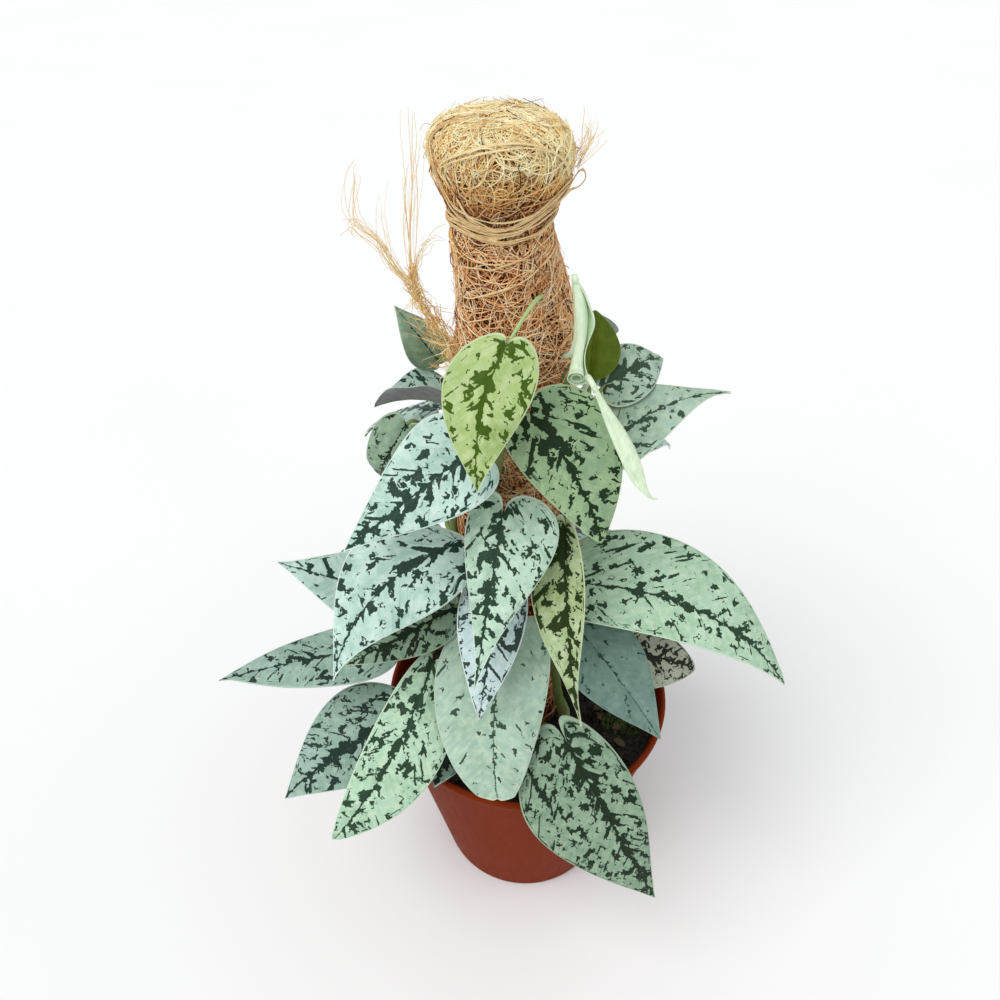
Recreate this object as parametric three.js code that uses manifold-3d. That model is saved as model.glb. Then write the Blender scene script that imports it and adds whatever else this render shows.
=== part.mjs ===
// A satin pothos that climbs a coir pole in a terracotta-coloured plastic pot.
// Millimetres, +Z up, origin at the centre of the pot's underside. The front of the plant faces -Y.
import * as THREE from "three";
import { mergeVertices } from "three/addons/utils/BufferGeometryUtils.js";
import Module from "manifold-3d";

const wasm = await Module();
wasm.setup();

// Pot and soil
const POT_HEIGHT = 125;
const POT_RIM_RADIUS = 75;
const POT_BASE_RADIUS = 46.5;
const POT_WALL = 1.8;
const POT_FLOOR = 2.4;
const LIP_HEIGHT = 5;
const LIP_PROUD = 1.6;
const DRAIN_HOLES = 6;
const DRAIN_RADIUS = 4;
const DRAIN_RING = 27;
const SOIL_HEIGHT = 111;
const SOIL_CROWN = 1.5;
const CLEARANCE = 0.3;

// Coir pole on its stake
const POLE_X = -9;
const POLE_RADIUS = 23;
const POLE_FOOT = 24;
const BUN_LEAN = 5;
const COIR_RIDGES = 1.5;
const STAKE_RADIUS = 7;
const STAKE_TOP = 394;
const COIR_SIDES = 20;
const NECK_HEIGHT = 384;
const TIE_RADIUS = 0.9;
const FIBRE_RADIUS = 0.6;

// Stems, leaf stalks and blades
const VINE_RADIUS = 2.4;
const VINE_RING = POLE_RADIUS + VINE_RADIUS + 2.4;
const VINE_DEPTH = 92;
const STALK_RADIUS = 1.2;
const STALK_RISE = 0.6;
const BLADE_THICKNESS = 0.9;
const BLADE_STATIONS = [0.004, 0.04, 0.12, 0.24, 0.4, 0.58, 0.76, 0.9, 1];
const BLADE_ACROSS = [-1, -0.55, 0, 0.55, 1];

const COLOURS = {
  terracotta: { color: 0x85402a, roughness: 0.55, metalness: 0 },
  soil: { color: 0x1f1712, roughness: 0.98, metalness: 0 },
  wood: { color: 0xb08d5e, roughness: 0.8, metalness: 0 },
  coir: { color: 0x9a6238, roughness: 0.95, metalness: 0 },
  raffia: { color: 0xc9a468, roughness: 0.7, metalness: 0 },
  stem: { color: 0x5d7336, roughness: 0.6, metalness: 0 },
  leaf: { color: 0xa9c4b4, roughness: 0.5, metalness: 0 },
  youngLeaf: { color: 0xbfd6a8, roughness: 0.5, metalness: 0 },
};

const v3 = (x, y, z) => new THREE.Vector3(x, y, z);
const at = (point) => v3(...point);

// Solids and booleans

function solidFrom(geometry) {
  const bare = geometry.index ? geometry.toNonIndexed() : geometry.clone();
  bare.deleteAttribute("normal");
  bare.deleteAttribute("uv");
  const merged = mergeVertices(bare, 1e-4);
  return new wasm.Manifold(
    new wasm.Mesh({
      numProp: 3,
      vertProperties: merged.attributes.position.array,
      triVerts: new Uint32Array(merged.index.array),
    }),
  );
}

function geometryFrom(solid) {
  const mesh = solid.getMesh();
  const positions = new Float32Array(mesh.numVert * 3);
  for (let i = 0; i < mesh.numVert; i++) {
    positions.set(mesh.vertProperties.subarray(i * mesh.numProp, i * mesh.numProp + 3), i * 3);
  }
  const geometry = new THREE.BufferGeometry();
  geometry.setAttribute("position", new THREE.BufferAttribute(positions, 3));
  geometry.setIndex(new THREE.BufferAttribute(mesh.triVerts, 1));
  geometry.computeVertexNormals();
  return geometry;
}

function fused(geometries) {
  return geometryFrom(geometries.map(solidFrom).reduce((whole, piece) => whole.add(piece)));
}

function cutBy(geometry, tools) {
  const whole = solidFrom(geometry);
  return geometryFrom(tools.map(solidFrom).reduce((rest, tool) => rest.subtract(tool), whole));
}

// An upright round bar from one height to another.
function bar(x, y, radius, bottom, top, sides = 12) {
  return new THREE.CylinderGeometry(radius, radius, top - bottom, sides)
    .rotateX(Math.PI / 2)
    .translate(x, y, (bottom + top) / 2);
}

// A round profile (radius, height) turned about the upright axis.
function turned(profile, sides) {
  const points = profile.map(([radius, height]) => new THREE.Vector2(radius, height));
  return new THREE.LatheGeometry(points, sides).rotateX(Math.PI / 2);
}

// A tube of a regular section along a curve.
function tube(curve, radius, steps, sides) {
  const section = new THREE.Shape();
  for (let i = 0; i < sides; i++) {
    const angle = (i / sides) * Math.PI * 2;
    const corner = [radius * Math.cos(angle), radius * Math.sin(angle)];
    if (i === 0) section.moveTo(...corner);
    else section.lineTo(...corner);
  }
  return new THREE.ExtrudeGeometry(section, { steps, extrudePath: curve, bevelEnabled: false });
}

// A closed skin over a grid of points whose rows join up at their ends, with a flat cap at both ends.
function skinOfRings(rings) {
  const places = [];
  const triangle = (a, b, c) => places.push(...a.toArray(), ...b.toArray(), ...c.toArray());
  const count = rings[0].length;
  const centre = (ring) =>
    ring.reduce((sum, point) => sum.add(point), v3(0, 0, 0)).divideScalar(ring.length);
  for (let i = 0; i + 1 < rings.length; i++) {
    for (let j = 0; j < count; j++) {
      const next = (j + 1) % count;
      triangle(rings[i][j], rings[i][next], rings[i + 1][next]);
      triangle(rings[i][j], rings[i + 1][next], rings[i + 1][j]);
    }
  }
  const first = rings[0];
  const last = rings[rings.length - 1];
  for (let j = 0; j < count; j++) {
    const next = (j + 1) % count;
    triangle(centre(first), first[next], first[j]);
    triangle(centre(last), last[j], last[next]);
  }
  const geometry = new THREE.BufferGeometry();
  geometry.setAttribute("position", new THREE.Float32BufferAttribute(places, 3));
  return geometry;
}

const plant = new THREE.Group();

function addNode(name, geometry, finish) {
  const material = new THREE.MeshStandardMaterial(COLOURS[finish]);
  const mesh = new THREE.Mesh(geometry, material);
  mesh.name = name;
  plant.add(mesh);
}

// Pot: a thin tapered shell with a small rolled lip and drain holes in its floor

function outerRadiusAt(height) {
  const top = POT_RIM_RADIUS - LIP_PROUD;
  return POT_BASE_RADIUS + ((top - POT_BASE_RADIUS) * height) / POT_HEIGHT;
}

function potShell() {
  const corner = 4;
  const lipFoot = POT_HEIGHT - LIP_HEIGHT;
  const profile = [
    [0, 0],
    [POT_BASE_RADIUS - corner, 0],
    [POT_BASE_RADIUS - corner * 0.3, corner * 0.3],
    [outerRadiusAt(corner), corner],
    [outerRadiusAt(lipFoot), lipFoot],
    [POT_RIM_RADIUS, lipFoot + 1],
    [POT_RIM_RADIUS, POT_HEIGHT - 1],
    [POT_RIM_RADIUS - 1, POT_HEIGHT],
    [outerRadiusAt(POT_HEIGHT) - POT_WALL, POT_HEIGHT],
    [outerRadiusAt(POT_FLOOR) - POT_WALL - 1, POT_FLOOR],
    [0, POT_FLOOR],
  ];
  const holes = [];
  for (let i = 0; i < DRAIN_HOLES; i++) {
    const angle = (i / DRAIN_HOLES) * Math.PI * 2;
    const x = DRAIN_RING * Math.cos(angle);
    const y = DRAIN_RING * Math.sin(angle);
    holes.push(bar(x, y, DRAIN_RADIUS, -1, POT_FLOOR + 1, 8));
  }
  return cutBy(turned(profile, 36), holes);
}

// Stems: each climbs the pole through places given as azimuth in degrees (0 is +X, -90 the front),
// height, and distance from the pole's axis.

const VINES = {
  front: [[-112, VINE_DEPTH, 34], [-112, 116, 34], [-114, 150, 30], [-118, 190, VINE_RING],
    [-120, 240, VINE_RING], [-115, 268, VINE_RING], [-104, 296, VINE_RING], [-100, 322, VINE_RING]],
  right: [[-38, VINE_DEPTH, 36], [-38, 116, 36], [-42, 150, 31], [-44, 190, VINE_RING],
    [-36, 240, VINE_RING], [-32, 290, VINE_RING], [-36, 325, VINE_RING], [-40, 350, VINE_RING]],
  back: [[62, VINE_DEPTH, 35], [62, 116, 35], [66, 150, 30], [74, 200, VINE_RING],
    [80, 260, VINE_RING], [72, 310, VINE_RING], [66, 345, VINE_RING]],
  left: [[165, VINE_DEPTH, 35], [165, 116, 35], [168, 150, 30], [176, 200, VINE_RING],
    [170, 250, VINE_RING], [160, 300, VINE_RING], [152, 330, VINE_RING]],
};

function aroundPole(degrees, height, reach) {
  const angle = (degrees * Math.PI) / 180;
  return v3(POLE_X + reach * Math.cos(angle), reach * Math.sin(angle), height);
}

const vineCurves = Object.fromEntries(
  Object.entries(VINES).map(([name, stops]) => [
    name,
    new THREE.CatmullRomCurve3(stops.map((stop) => aroundPole(...stop))),
  ]),
);

// The point of a stem's axis at a height.
function vineAt(name, height) {
  const points = vineCurves[name].getPoints(160);
  return points.reduce((best, point) =>
    Math.abs(point.z - height) < Math.abs(best.z - height) ? point : best,
  );
}

// Leaves. base and tip are the ends of the midrib, face is the way that the upper side looks.
// width is the widest, arch lifts the middle of the midrib off the straight line, cup turns both edges
// down, fold turns both halves up, sweep bends the leaf sideways, lobe is how far the ears beside the stalk
// reach back, belly where the blade is widest, a higher point draws its ends out, and lean makes one half
// wider than the other. These are fractions of the length or width. stem and from say where on which stem
// the stalk starts. end under 1 is a blade whose tip is lost.

const PLAIN_LEAF = {
  face: [0, -0.78, 0.62],
  arch: 0.08,
  cup: 0.1,
  fold: 0,
  sweep: 0,
  lobe: 0.12,
  belly: 0.36,
  point: 1.12,
  lean: 0,
  end: 1,
};

const LEAVES = {
  leaf_01: { base: [-13, -50, 361], tip: [-23, -70, 313], width: 31, stem: "right", from: 343, sweep: 0.07,
    via: [[12, -22.8, 343.5], [6, -25, 355], [1, -28, 368]] },
  leaf_02: { base: [-4, -42, 329], tip: [24, -63, 283], width: 39, stem: "right", from: 312, sweep: -0.05,
    lobe: 0.15, point: 0.8, lean: -0.18 },
  leaf_03: { base: [-26, -45, 313], tip: [-76, -60, 276], width: 38, stem: "front", from: 312, belly: 0.24,
    point: 1.1, lean: 0.07 },
  leaf_04: { base: [-31, -40, 263], tip: [-85, -74, 216], width: 43, stem: "front", from: 258, sweep: 0.14,
    lobe: 0.07, point: 1.3 },
  leaf_05: { base: [-53, -18, 208], tip: [-113, -30, 243], width: 38, stem: "left", from: 220 },
  leaf_06: { base: [-54, -12, 303], tip: [-68, -3, 270], width: 22, stem: "left", from: 284, arch: 0.16,
    point: 0.7 },
  leaf_07: { base: [-39, 10, 300], tip: [-70, 12, 297], width: 30, stem: "left", from: 302,
    face: [0, 0.42, 0.9], cup: 0, fold: 0.7, point: 0.8 },
  leaf_08: { base: [-43, 26, 312], tip: [-60, 30, 338], width: 24, stem: "left", from: 320 },
  leaf_09: { base: [23, 10, 312], tip: [25, 22, 338], width: 24, stem: "right", from: 316, point: 0.8,
    lobe: 0.05, belly: 0.42 },
  leaf_10: { base: [29, 9, 309], tip: [57, 30, 311], width: 28, stem: "right", from: 303, arch: 0.16,
    face: [-0.1, -0.6, 0.8], point: 0.9 },
  leaf_11: { base: [29, -11, 290], tip: [85, 12, 304], width: 34, stem: "right", from: 284,
    face: [0.15, -0.3, 0.95], arch: 0.1, sweep: -0.06, lobe: 0.15, belly: 0.3, point: 1.35, lean: -0.15 },
  leaf_12: { base: [-14, -45, 282], tip: [-26, -83, 217], width: 37, stem: "front", from: 272, lobe: 0.18,
    belly: 0.25, point: 1.8, lean: -0.26 },
  leaf_13: { base: [-15, -42, 248], tip: [-24, -77, 194], width: 29, stem: "front", from: 244, point: 1,
    lean: 0.05 },
  leaf_14: { base: [-12, -39, 210], tip: [-15, -86, 137], width: 51, stem: "front", from: 200, sweep: 0.05,
    point: 0.6, lean: 0.1, end: 0.92 },
  leaf_15: { base: [12, -37, 270], tip: [20, -80, 193], width: 23, stem: "right", from: 262,
    face: [-0.4, -0.7, 0.6], fold: 0.25, lobe: 0.1, belly: 0.34, point: 1.6, lean: 0.25 },
  leaf_16: { base: [23, -31, 231], tip: [116, -51, 186], width: 50, stem: "right", from: 222,
    face: [0.1, -0.45, 0.89], arch: 0.15, sweep: -0.06, lobe: 0.17, belly: 0.31, point: 0.85, lean: -0.25 },
  leaf_17: { base: [22, -32, 202], tip: [60, -62, 160], width: 36, stem: "right", from: 192, sweep: -0.02,
    lobe: 0.1, belly: 0.34 },
  leaf_18: { base: [41, -3, 164], tip: [85, -15, 156], width: 35, stem: "right", from: 168,
    face: [0.3, -0.7, 0.65], sweep: 0.02, belly: 0.38, point: 0.65, lean: 0.1 },
  leaf_19: { base: [16, -66, 163], tip: [61, -98, 83], width: 53, stem: "right", from: 142, lobe: 0.18,
    belly: 0.41, point: 1.25, lean: 0.3 },
  leaf_20: { base: [-60, -36, 146], tip: [-123, -62, 112], width: 50, stem: "left", from: 160,
    sweep: 0.06 },
  leaf_21: { base: [-46, -43, 193], tip: [-93, -91, 123], width: 35, stem: "front", from: 178, sweep: -0.05,
    lobe: 0.06, belly: 0.44, point: 0.7, lean: -0.22 },
  leaf_22: { base: [-70, -20, 179], tip: [-149, -40, 176], width: 38, stem: "left", from: 176,
    face: [-0.1, -0.05, 1], arch: 0.02 },
  leaf_23: { base: [-36, -34, 219], tip: [-85, -50, 198], width: 25, stem: "front", from: 214 },
  leaf_24: { base: [-41, -46, 130], tip: [-47, -66, 128], width: 20, stem: "front", from: 130,
    face: [0, -0.5, 0.85] },
  leaf_25: { base: [16, 40, 330], tip: [34, 74, 288], width: 36, stem: "back", from: 326,
    face: [0.3, 0.7, 0.62] },
  leaf_26: { base: [-20, 44, 308], tip: [-34, 86, 270], width: 38, stem: "back", from: 300,
    face: [-0.2, 0.75, 0.62] },
  leaf_27: { base: [-44, 28, 286], tip: [-84, 58, 250], width: 38, stem: "left", from: 276,
    face: [-0.55, 0.5, 0.65] },
  leaf_28: { base: [28, 24, 276], tip: [72, 54, 246], width: 40, stem: "back", from: 270,
    face: [0.6, 0.45, 0.65] },
  leaf_29: { base: [-2, 46, 270], tip: [6, 92, 222], width: 42, stem: "back", from: 262,
    face: [0, 0.75, 0.65] },
  leaf_30: { base: [-34, 40, 238], tip: [-66, 88, 196], width: 44, stem: "left", from: 232,
    face: [-0.45, 0.6, 0.65] },
  leaf_31: { base: [22, 38, 202], tip: [60, 84, 154], width: 46, stem: "back", from: 196,
    face: [0.5, 0.6, 0.65] },
  leaf_32: { base: [34, 14, 192], tip: [98, 36, 160], width: 44, stem: "back", from: 186,
    face: [0.6, 0.25, 0.75] },
  leaf_33: { base: [-8, 50, 196], tip: [-6, 104, 138], width: 50, stem: "back", from: 184,
    face: [0, 0.75, 0.65] },
  leaf_34: { base: [-52, 16, 216], tip: [-104, 42, 182], width: 42, stem: "left", from: 206,
    face: [-0.6, 0.3, 0.75] },
  leaf_35: { base: [-44, 46, 160], tip: [-90, 92, 112], width: 46, stem: "left", from: 150,
    face: [-0.5, 0.55, 0.65] },
  leaf_36: { base: [34, 42, 150], tip: [80, 88, 104], width: 46, stem: "back", from: 140,
    face: [0.5, 0.6, 0.65] },
};

// A leaf's own axes: along from base to tip, up out of the upper side, and side to the leaf's right.
function leafAxes(leaf) {
  const along = at(leaf.tip).sub(at(leaf.base));
  const length = along.length();
  along.normalize();
  const up = at(leaf.face);
  up.addScaledVector(along, -up.dot(along)).normalize();
  return { along, up, side: v3(0, 0, 0).crossVectors(along, up), length };
}

// The blade's middle surface. u runs from the stalk (0) to the tip (1), across from edge (-1) to edge (1).
function bladePoint(leaf, axes, u, across) {
  const widest = Math.log(0.5) / Math.log(leaf.belly);
  const even = (leaf.width / 2) * Math.max(Math.sin(Math.PI * u ** widest), 0.001) ** leaf.point + 0.3;
  const half = even * (1 + leaf.lean * Math.sign(across));
  const ear = leaf.lobe * Math.sin(Math.PI * u ** 0.35) * Math.abs(across) ** 1.6;
  const r = u - ear;
  const lift = leaf.arch * 4 * r * (1 - r);
  const turn = leaf.fold * Math.abs(across) * half - leaf.cup * across * across * half;
  return at(leaf.base)
    .addScaledVector(axes.along, r * axes.length)
    .addScaledVector(axes.side, across * half + leaf.sweep * axes.length * 4 * r * (1 - r))
    .addScaledVector(axes.up, lift * axes.length + turn);
}

// Both faces of a blade are split into the same triangles, so that they never cross.
function blade(leaf, axes) {
  const stations = BLADE_STATIONS.map((u) => u * leaf.end);
  const half = BLADE_THICKNESS / 2;
  const rings = stations.map((u) => {
    const middle = BLADE_ACROSS.map((across) => bladePoint(leaf, axes, u, across));
    const top = middle.map((point) => point.clone().addScaledVector(axes.up, half));
    const under = middle.map((point) => point.clone().addScaledVector(axes.up, -half));
    return { top, under };
  });
  const places = [];
  const triangle = (a, b, c) => places.push(...a.toArray(), ...c.toArray(), ...b.toArray());
  const quad = (a, b, c, d) => {
    triangle(a, b, c);
    triangle(a, c, d);
  };
  const last = BLADE_ACROSS.length - 1;
  for (let i = 0; i + 1 < rings.length; i++) {
    const [here, next] = [rings[i], rings[i + 1]];
    for (let j = 0; j < last; j++) {
      quad(here.top[j], next.top[j], next.top[j + 1], here.top[j + 1]);
      triangle(here.under[j], next.under[j + 1], next.under[j]);
      triangle(here.under[j], here.under[j + 1], next.under[j + 1]);
    }
    quad(here.under[0], next.under[0], next.top[0], here.top[0]);
    quad(here.top[last], next.top[last], next.under[last], here.under[last]);
  }
  const [first, final] = [rings[0], rings[rings.length - 1]];
  for (let j = 0; j < last; j++) {
    quad(first.top[j], first.top[j + 1], first.under[j + 1], first.under[j]);
    quad(final.top[j + 1], final.top[j], final.under[j], final.under[j + 1]);
  }
  const geometry = new THREE.BufferGeometry();
  geometry.setAttribute("position", new THREE.Float32BufferAttribute(places, 3));
  return geometry;
}

// The stalk leaves its stem level, away from the pole, and runs into the blade's base.
function stalk(leaf, axes) {
  const axis = vineAt(leaf.stem, leaf.from);
  const outward = v3(axis.x - POLE_X, axis.y, 0).normalize();
  const toBase = at(leaf.base).sub(axis).setZ(0).normalize();
  const leaving = outward.multiplyScalar(1.2).add(toBase).normalize();
  const start = axis.clone().addScaledVector(leaving, VINE_RADIUS + CLEARANCE + 0.15);
  const end = bladePoint(leaf, axes, 0.07, 0).addScaledVector(axes.up, -0.25);
  const reach = start.distanceTo(end) * 0.4;
  const arriving = axes.along.clone().addScaledVector(axes.up, STALK_RISE).normalize();
  const bend = new THREE.CubicBezierCurve3(
    start,
    start.clone().addScaledVector(leaving, reach),
    end.clone().addScaledVector(arriving, -reach),
    end,
  );
  const curve = leaf.via ? new THREE.CatmullRomCurve3([start, ...leaf.via.map(at), end]) : bend;
  return tube(curve, STALK_RADIUS, 5, 4);
}

function leafSolid(given) {
  const leaf = { ...PLAIN_LEAF, ...given };
  const axes = leafAxes(leaf);
  return fused([blade(leaf, axes), stalk(leaf, axes)]);
}

// Soil: fills the pot to under its lip, with plain holes for the pole and the stems

function soilBody() {
  const bottom = POT_FLOOR + CLEARANCE;
  const innerRadiusAt = (height) => outerRadiusAt(height) - POT_WALL - 0.8;
  const edge = innerRadiusAt(SOIL_HEIGHT);
  const profile = [[0, bottom], [innerRadiusAt(bottom) - 0.6, bottom], [edge, SOIL_HEIGHT]];
  const steps = 5;
  for (let i = steps - 1; i >= 0; i--) profile.push([(i / steps) * edge, SOIL_HEIGHT + SOIL_CROWN]);
  const soil = turned(profile, 28);
  const places = soil.attributes.position;
  for (let i = 0; i < places.count; i++) {
    if (places.getZ(i) <= SOIL_HEIGHT) continue;
    const [x, y] = [places.getX(i), places.getY(i)];
    const bumps = 1.3 * Math.sin(x * 0.21 + 1) * Math.cos(y * 0.17) + 0.9 * Math.sin(x * 0.37 - y * 0.43);
    places.setZ(i, places.getZ(i) + bumps);
  }
  const holes = [
    bar(POLE_X, 0, POLE_RADIUS + COIR_RIDGES + 1.1, POLE_FOOT - CLEARANCE, POT_HEIGHT, 32),
    bar(POLE_X, 0, STAKE_RADIUS + CLEARANCE, 0, POLE_FOOT),
    ...Object.values(vineCurves).map(({ points: [foot] }) =>
      bar(foot.x, foot.y, VINE_RADIUS + CLEARANCE, VINE_DEPTH - CLEARANCE, POT_HEIGHT),
    ),
  ];
  return cutBy(soil, holes);
}

// Coir pole: a mat rolled round the stake, pinched at the neck and folded over into a bun

const COIR_OUTLINE = [
  [POLE_FOOT, POLE_RADIUS], [346, POLE_RADIUS], [362, POLE_RADIUS - 1], [375, POLE_RADIUS - 3],
  [NECK_HEIGHT, POLE_RADIUS - 4], [390, POLE_RADIUS - 3], [398, 25.5], [404, 27.5], [411, 27],
  [417, 23], [420.5, 14],
];

function coirRadiusAt(height) {
  const above = COIR_OUTLINE.findIndex(([level]) => level >= height);
  const [[z0, r0], [z1, r1]] = [COIR_OUTLINE[Math.max(above - 1, 0)], COIR_OUTLINE[Math.max(above, 1)]];
  return r0 + ((r1 - r0) * (height - z0)) / (z1 - z0);
}

function coirCentreAt(height) {
  const t = THREE.MathUtils.smoothstep(height, 350, 408);
  return POLE_X - BUN_LEAN * t;
}

function coirPoint(angle, height, proud = 0) {
  const broad = 0.6 * COIR_RIDGES * Math.sin(2 * angle + height * 0.085);
  const fine = 0.4 * COIR_RIDGES * Math.sin(3 * angle - height * 0.14 + 1);
  const reach = coirRadiusAt(height) + broad + fine + proud;
  return v3(coirCentreAt(height) + reach * Math.cos(angle), reach * Math.sin(angle), height);
}

function coirPole() {
  const levels = [];
  for (let height = 66; height < 346; height += 20) levels.push(height);
  COIR_OUTLINE.forEach(([height], i) => {
    levels.push(height);
    if (i > 2 && height < 411) levels.push((height + COIR_OUTLINE[i + 1][0]) / 2);
  });
  levels.sort((low, high) => low - high);
  const rings = levels.map((height) => {
    const ring = [];
    for (let j = 0; j < COIR_SIDES; j++) ring.push(coirPoint((j / COIR_SIDES) * Math.PI * 2, height));
    return ring;
  });
  return cutBy(skinOfRings(rings), [
    bar(POLE_X, 0, STAKE_RADIUS + CLEARANCE, POLE_FOOT - 1, STAKE_TOP + CLEARANCE, 16),
  ]);
}

// Neck tie: one length of raffia. It winds twice round the neck, climbs behind the bun, stands off in a
// small loop at the right and crosses the front to end up the bun's left side.

// The last winding: degrees round the pole, height, and how far it stands off where it lies loose.
const TIE_END = [
  [-640, 393, 0], [-665, 400, 0], [-690, 407, 0.2], [-706, 404, 1.8], [-722, 399, 1], [-745, 395.5, 0],
  [-770, 393, 0], [-795, 391.5, 0], [-820, 390.5, 0], [-845, 390.5, 0], [-866, 392.5, 0], [-880, 397, 0],
  [-890, 403, 0], [-896, 408, 0],
];

function neckTie() {
  const lying = TIE_RADIUS + 1;
  const radians = Math.PI / 180;
  const points = [];
  for (let degrees = -30; degrees > -625; degrees -= 24) {
    const turns = (-30 - degrees) / 360;
    const height = NECK_HEIGHT + 2.7 * turns + 1.2 * Math.cos(degrees * radians);
    points.push(coirPoint(degrees * radians, height, lying));
  }
  for (const [degrees, height, loose] of TIE_END) {
    points.push(coirPoint(degrees * radians, height, lying + loose));
  }
  return tube(new THREE.CatmullRomCurve3(points), TIE_RADIUS, 76, 4);
}

function bunStrand() {
  const points = [];
  for (let step = 0; step <= 8; step++) {
    const angle = Math.PI * (1.08 + (0.84 * step) / 8);
    points.push(coirPoint(angle, 405 + 11 * Math.sin((Math.PI * step) / 8), TIE_RADIUS + 0.6));
  }
  return tube(new THREE.CatmullRomCurve3(points), TIE_RADIUS, 14, 4);
}

// Loose coir: thin frayed strands that start in one clump against the mat

const LEFT_FRAY = {
  clump: [-34.1, -5, 323],
  strands: [
    [[-46, -6, 342], [-57, -5, 364], [-68, -4, 381], [-74, -3, 377]],
    [[-45, -3, 350], [-51, 0, 382], [-49, 1, 408], [-46, 1, 424]],
    [[-49, -5, 338], [-59, -6, 352], [-66, -5, 370]],
    [[-50, -8, 322], [-60, -7, 340], [-64, -4, 362], [-62, -3, 372]],
    [[-44, 0, 352], [-47, 2, 384], [-43, 3, 408], [-41, 3, 420]],
    [[-44, -7, 334], [-50, -8, 348], [-55, -7, 362]],
    [[-47, -8, 328], [-54, -9, 338], [-58, -8, 350]],
  ],
};

const RIGHT_FRAY = {
  clump: [15, -1, 408],
  strands: [
    [[18, -1, 414], [19.5, 0, 424]],
    [[19, -3, 412], [22.5, -4, 419]],
    [[17, 2, 414], [16.5, 4, 423]],
  ],
};

function fray({ clump, strands }, clumpRadius) {
  const tubes = strands.map((stops) =>
    tube(new THREE.CatmullRomCurve3([at(clump), ...stops.map(at)]), FIBRE_RADIUS, 3 * stops.length, 3),
  );
  const knot = new THREE.IcosahedronGeometry(clumpRadius).translate(...clump);
  return fused([knot, ...tubes]);
}

// Young leaves: a blade still rolled into a tube, and one folded into a spear.
// Each stop is a place with the half width and the half thickness there.

const ROLLED_LEAF = {
  stem: "right",
  from: 349,
  stops: [
    [[11.8, -26, 373], 2, 1.8], [[13.4, -27, 368], 2.3, 2], [[14.5, -28.5, 363], 2.8, 2.4],
    [[14.8, -30, 356], 3.1, 2.6], [[14, -30.5, 349], 3.1, 2.6], [[13.6, -31, 343], 3.5, 2.8],
    [[13, -31, 339], 2.6, 2.2],
  ],
};

const SPEAR_LEAF = {
  stem: "right",
  from: 322,
  stops: [
    [[19, -46, 341], 1.2, 1.2], [[23, -49, 334], 1.8, 1.4], [[28.5, -53.5, 325], 3.2, 1.8],
    [[33, -58, 317], 3.4, 1.8], [[36, -61, 311], 2.2, 1.2], [[41, -64, 306], 0.5, 0.5],
  ],
};

function youngLeaf({ stem, from, stops }) {
  const along = at(stops[stops.length - 1][0]).sub(at(stops[0][0])).normalize();
  const wide = v3(0, 0, 0).crossVectors(along, v3(0, -0.78, 0.62)).normalize();
  const deep = v3(0, 0, 0).crossVectors(along, wide);
  const sides = 8;
  const rings = stops.map(([middle, halfWidth, halfDepth]) => {
    const ring = [];
    for (let j = 0; j < sides; j++) {
      const angle = (j / sides) * Math.PI * 2;
      const point = at(middle).addScaledVector(wide, halfWidth * Math.cos(angle));
      ring.push(point.addScaledVector(deep, halfDepth * Math.sin(angle)));
    }
    return ring;
  });
  const axis = vineAt(stem, from);
  const leaving = v3(axis.x - POLE_X, axis.y, 0).normalize();
  const start = axis.clone().addScaledVector(leaving, VINE_RADIUS + CLEARANCE + 0.15);
  const end = at(stops[0][0]).addScaledVector(along, 2);
  const reach = start.distanceTo(end) * 0.4;
  const curve = new THREE.CubicBezierCurve3(
    start,
    start.clone().addScaledVector(leaving, reach),
    end.clone().addScaledVector(along, -reach),
    end,
  );
  return fused([skinOfRings(rings), tube(curve, STALK_RADIUS, 5, 4)]);
}

addNode("pot", potShell(), "terracotta");
addNode("soil", soilBody(), "soil");
addNode("stake", bar(POLE_X, 0, STAKE_RADIUS, POT_FLOOR + CLEARANCE, STAKE_TOP, 14), "wood");
addNode("coir_pole", coirPole(), "coir");
addNode("neck_tie", neckTie(), "raffia");
addNode("bun_strand", bunStrand(), "raffia");
addNode("loose_coir_left", fray(LEFT_FRAY, 3), "coir");
addNode("loose_coir_right", fray(RIGHT_FRAY, 1.5), "coir");
for (const [name, curve] of Object.entries(vineCurves)) {
  addNode("stem_" + name, tube(curve, VINE_RADIUS, 20, 6), "stem");
}
for (const [name, leaf] of Object.entries(LEAVES)) {
  addNode(name, leafSolid(leaf), "leaf");
}
addNode("rolled_leaf", youngLeaf(ROLLED_LEAF), "youngLeaf");
addNode("spear_leaf", youngLeaf(SPEAR_LEAF), "youngLeaf");

export default plant;
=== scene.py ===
import math

import bpy
import numpy as np
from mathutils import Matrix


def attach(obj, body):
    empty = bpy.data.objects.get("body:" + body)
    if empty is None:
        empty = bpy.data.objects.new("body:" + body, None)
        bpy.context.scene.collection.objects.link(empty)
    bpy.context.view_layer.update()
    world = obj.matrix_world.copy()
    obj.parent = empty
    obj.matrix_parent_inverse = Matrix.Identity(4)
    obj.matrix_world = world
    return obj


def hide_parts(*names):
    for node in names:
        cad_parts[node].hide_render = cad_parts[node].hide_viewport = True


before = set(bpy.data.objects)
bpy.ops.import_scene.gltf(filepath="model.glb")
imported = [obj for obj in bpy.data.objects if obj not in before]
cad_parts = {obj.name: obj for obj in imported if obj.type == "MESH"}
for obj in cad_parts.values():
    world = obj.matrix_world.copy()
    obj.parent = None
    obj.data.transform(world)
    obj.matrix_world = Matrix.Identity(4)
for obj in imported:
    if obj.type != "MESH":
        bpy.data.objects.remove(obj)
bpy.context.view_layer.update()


# Camera. It stands in front of the plant and above it, and looks down by 38.4 degrees, so that the leaves'
# upper sides, the rim of the pot and a little of the soil show.

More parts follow.
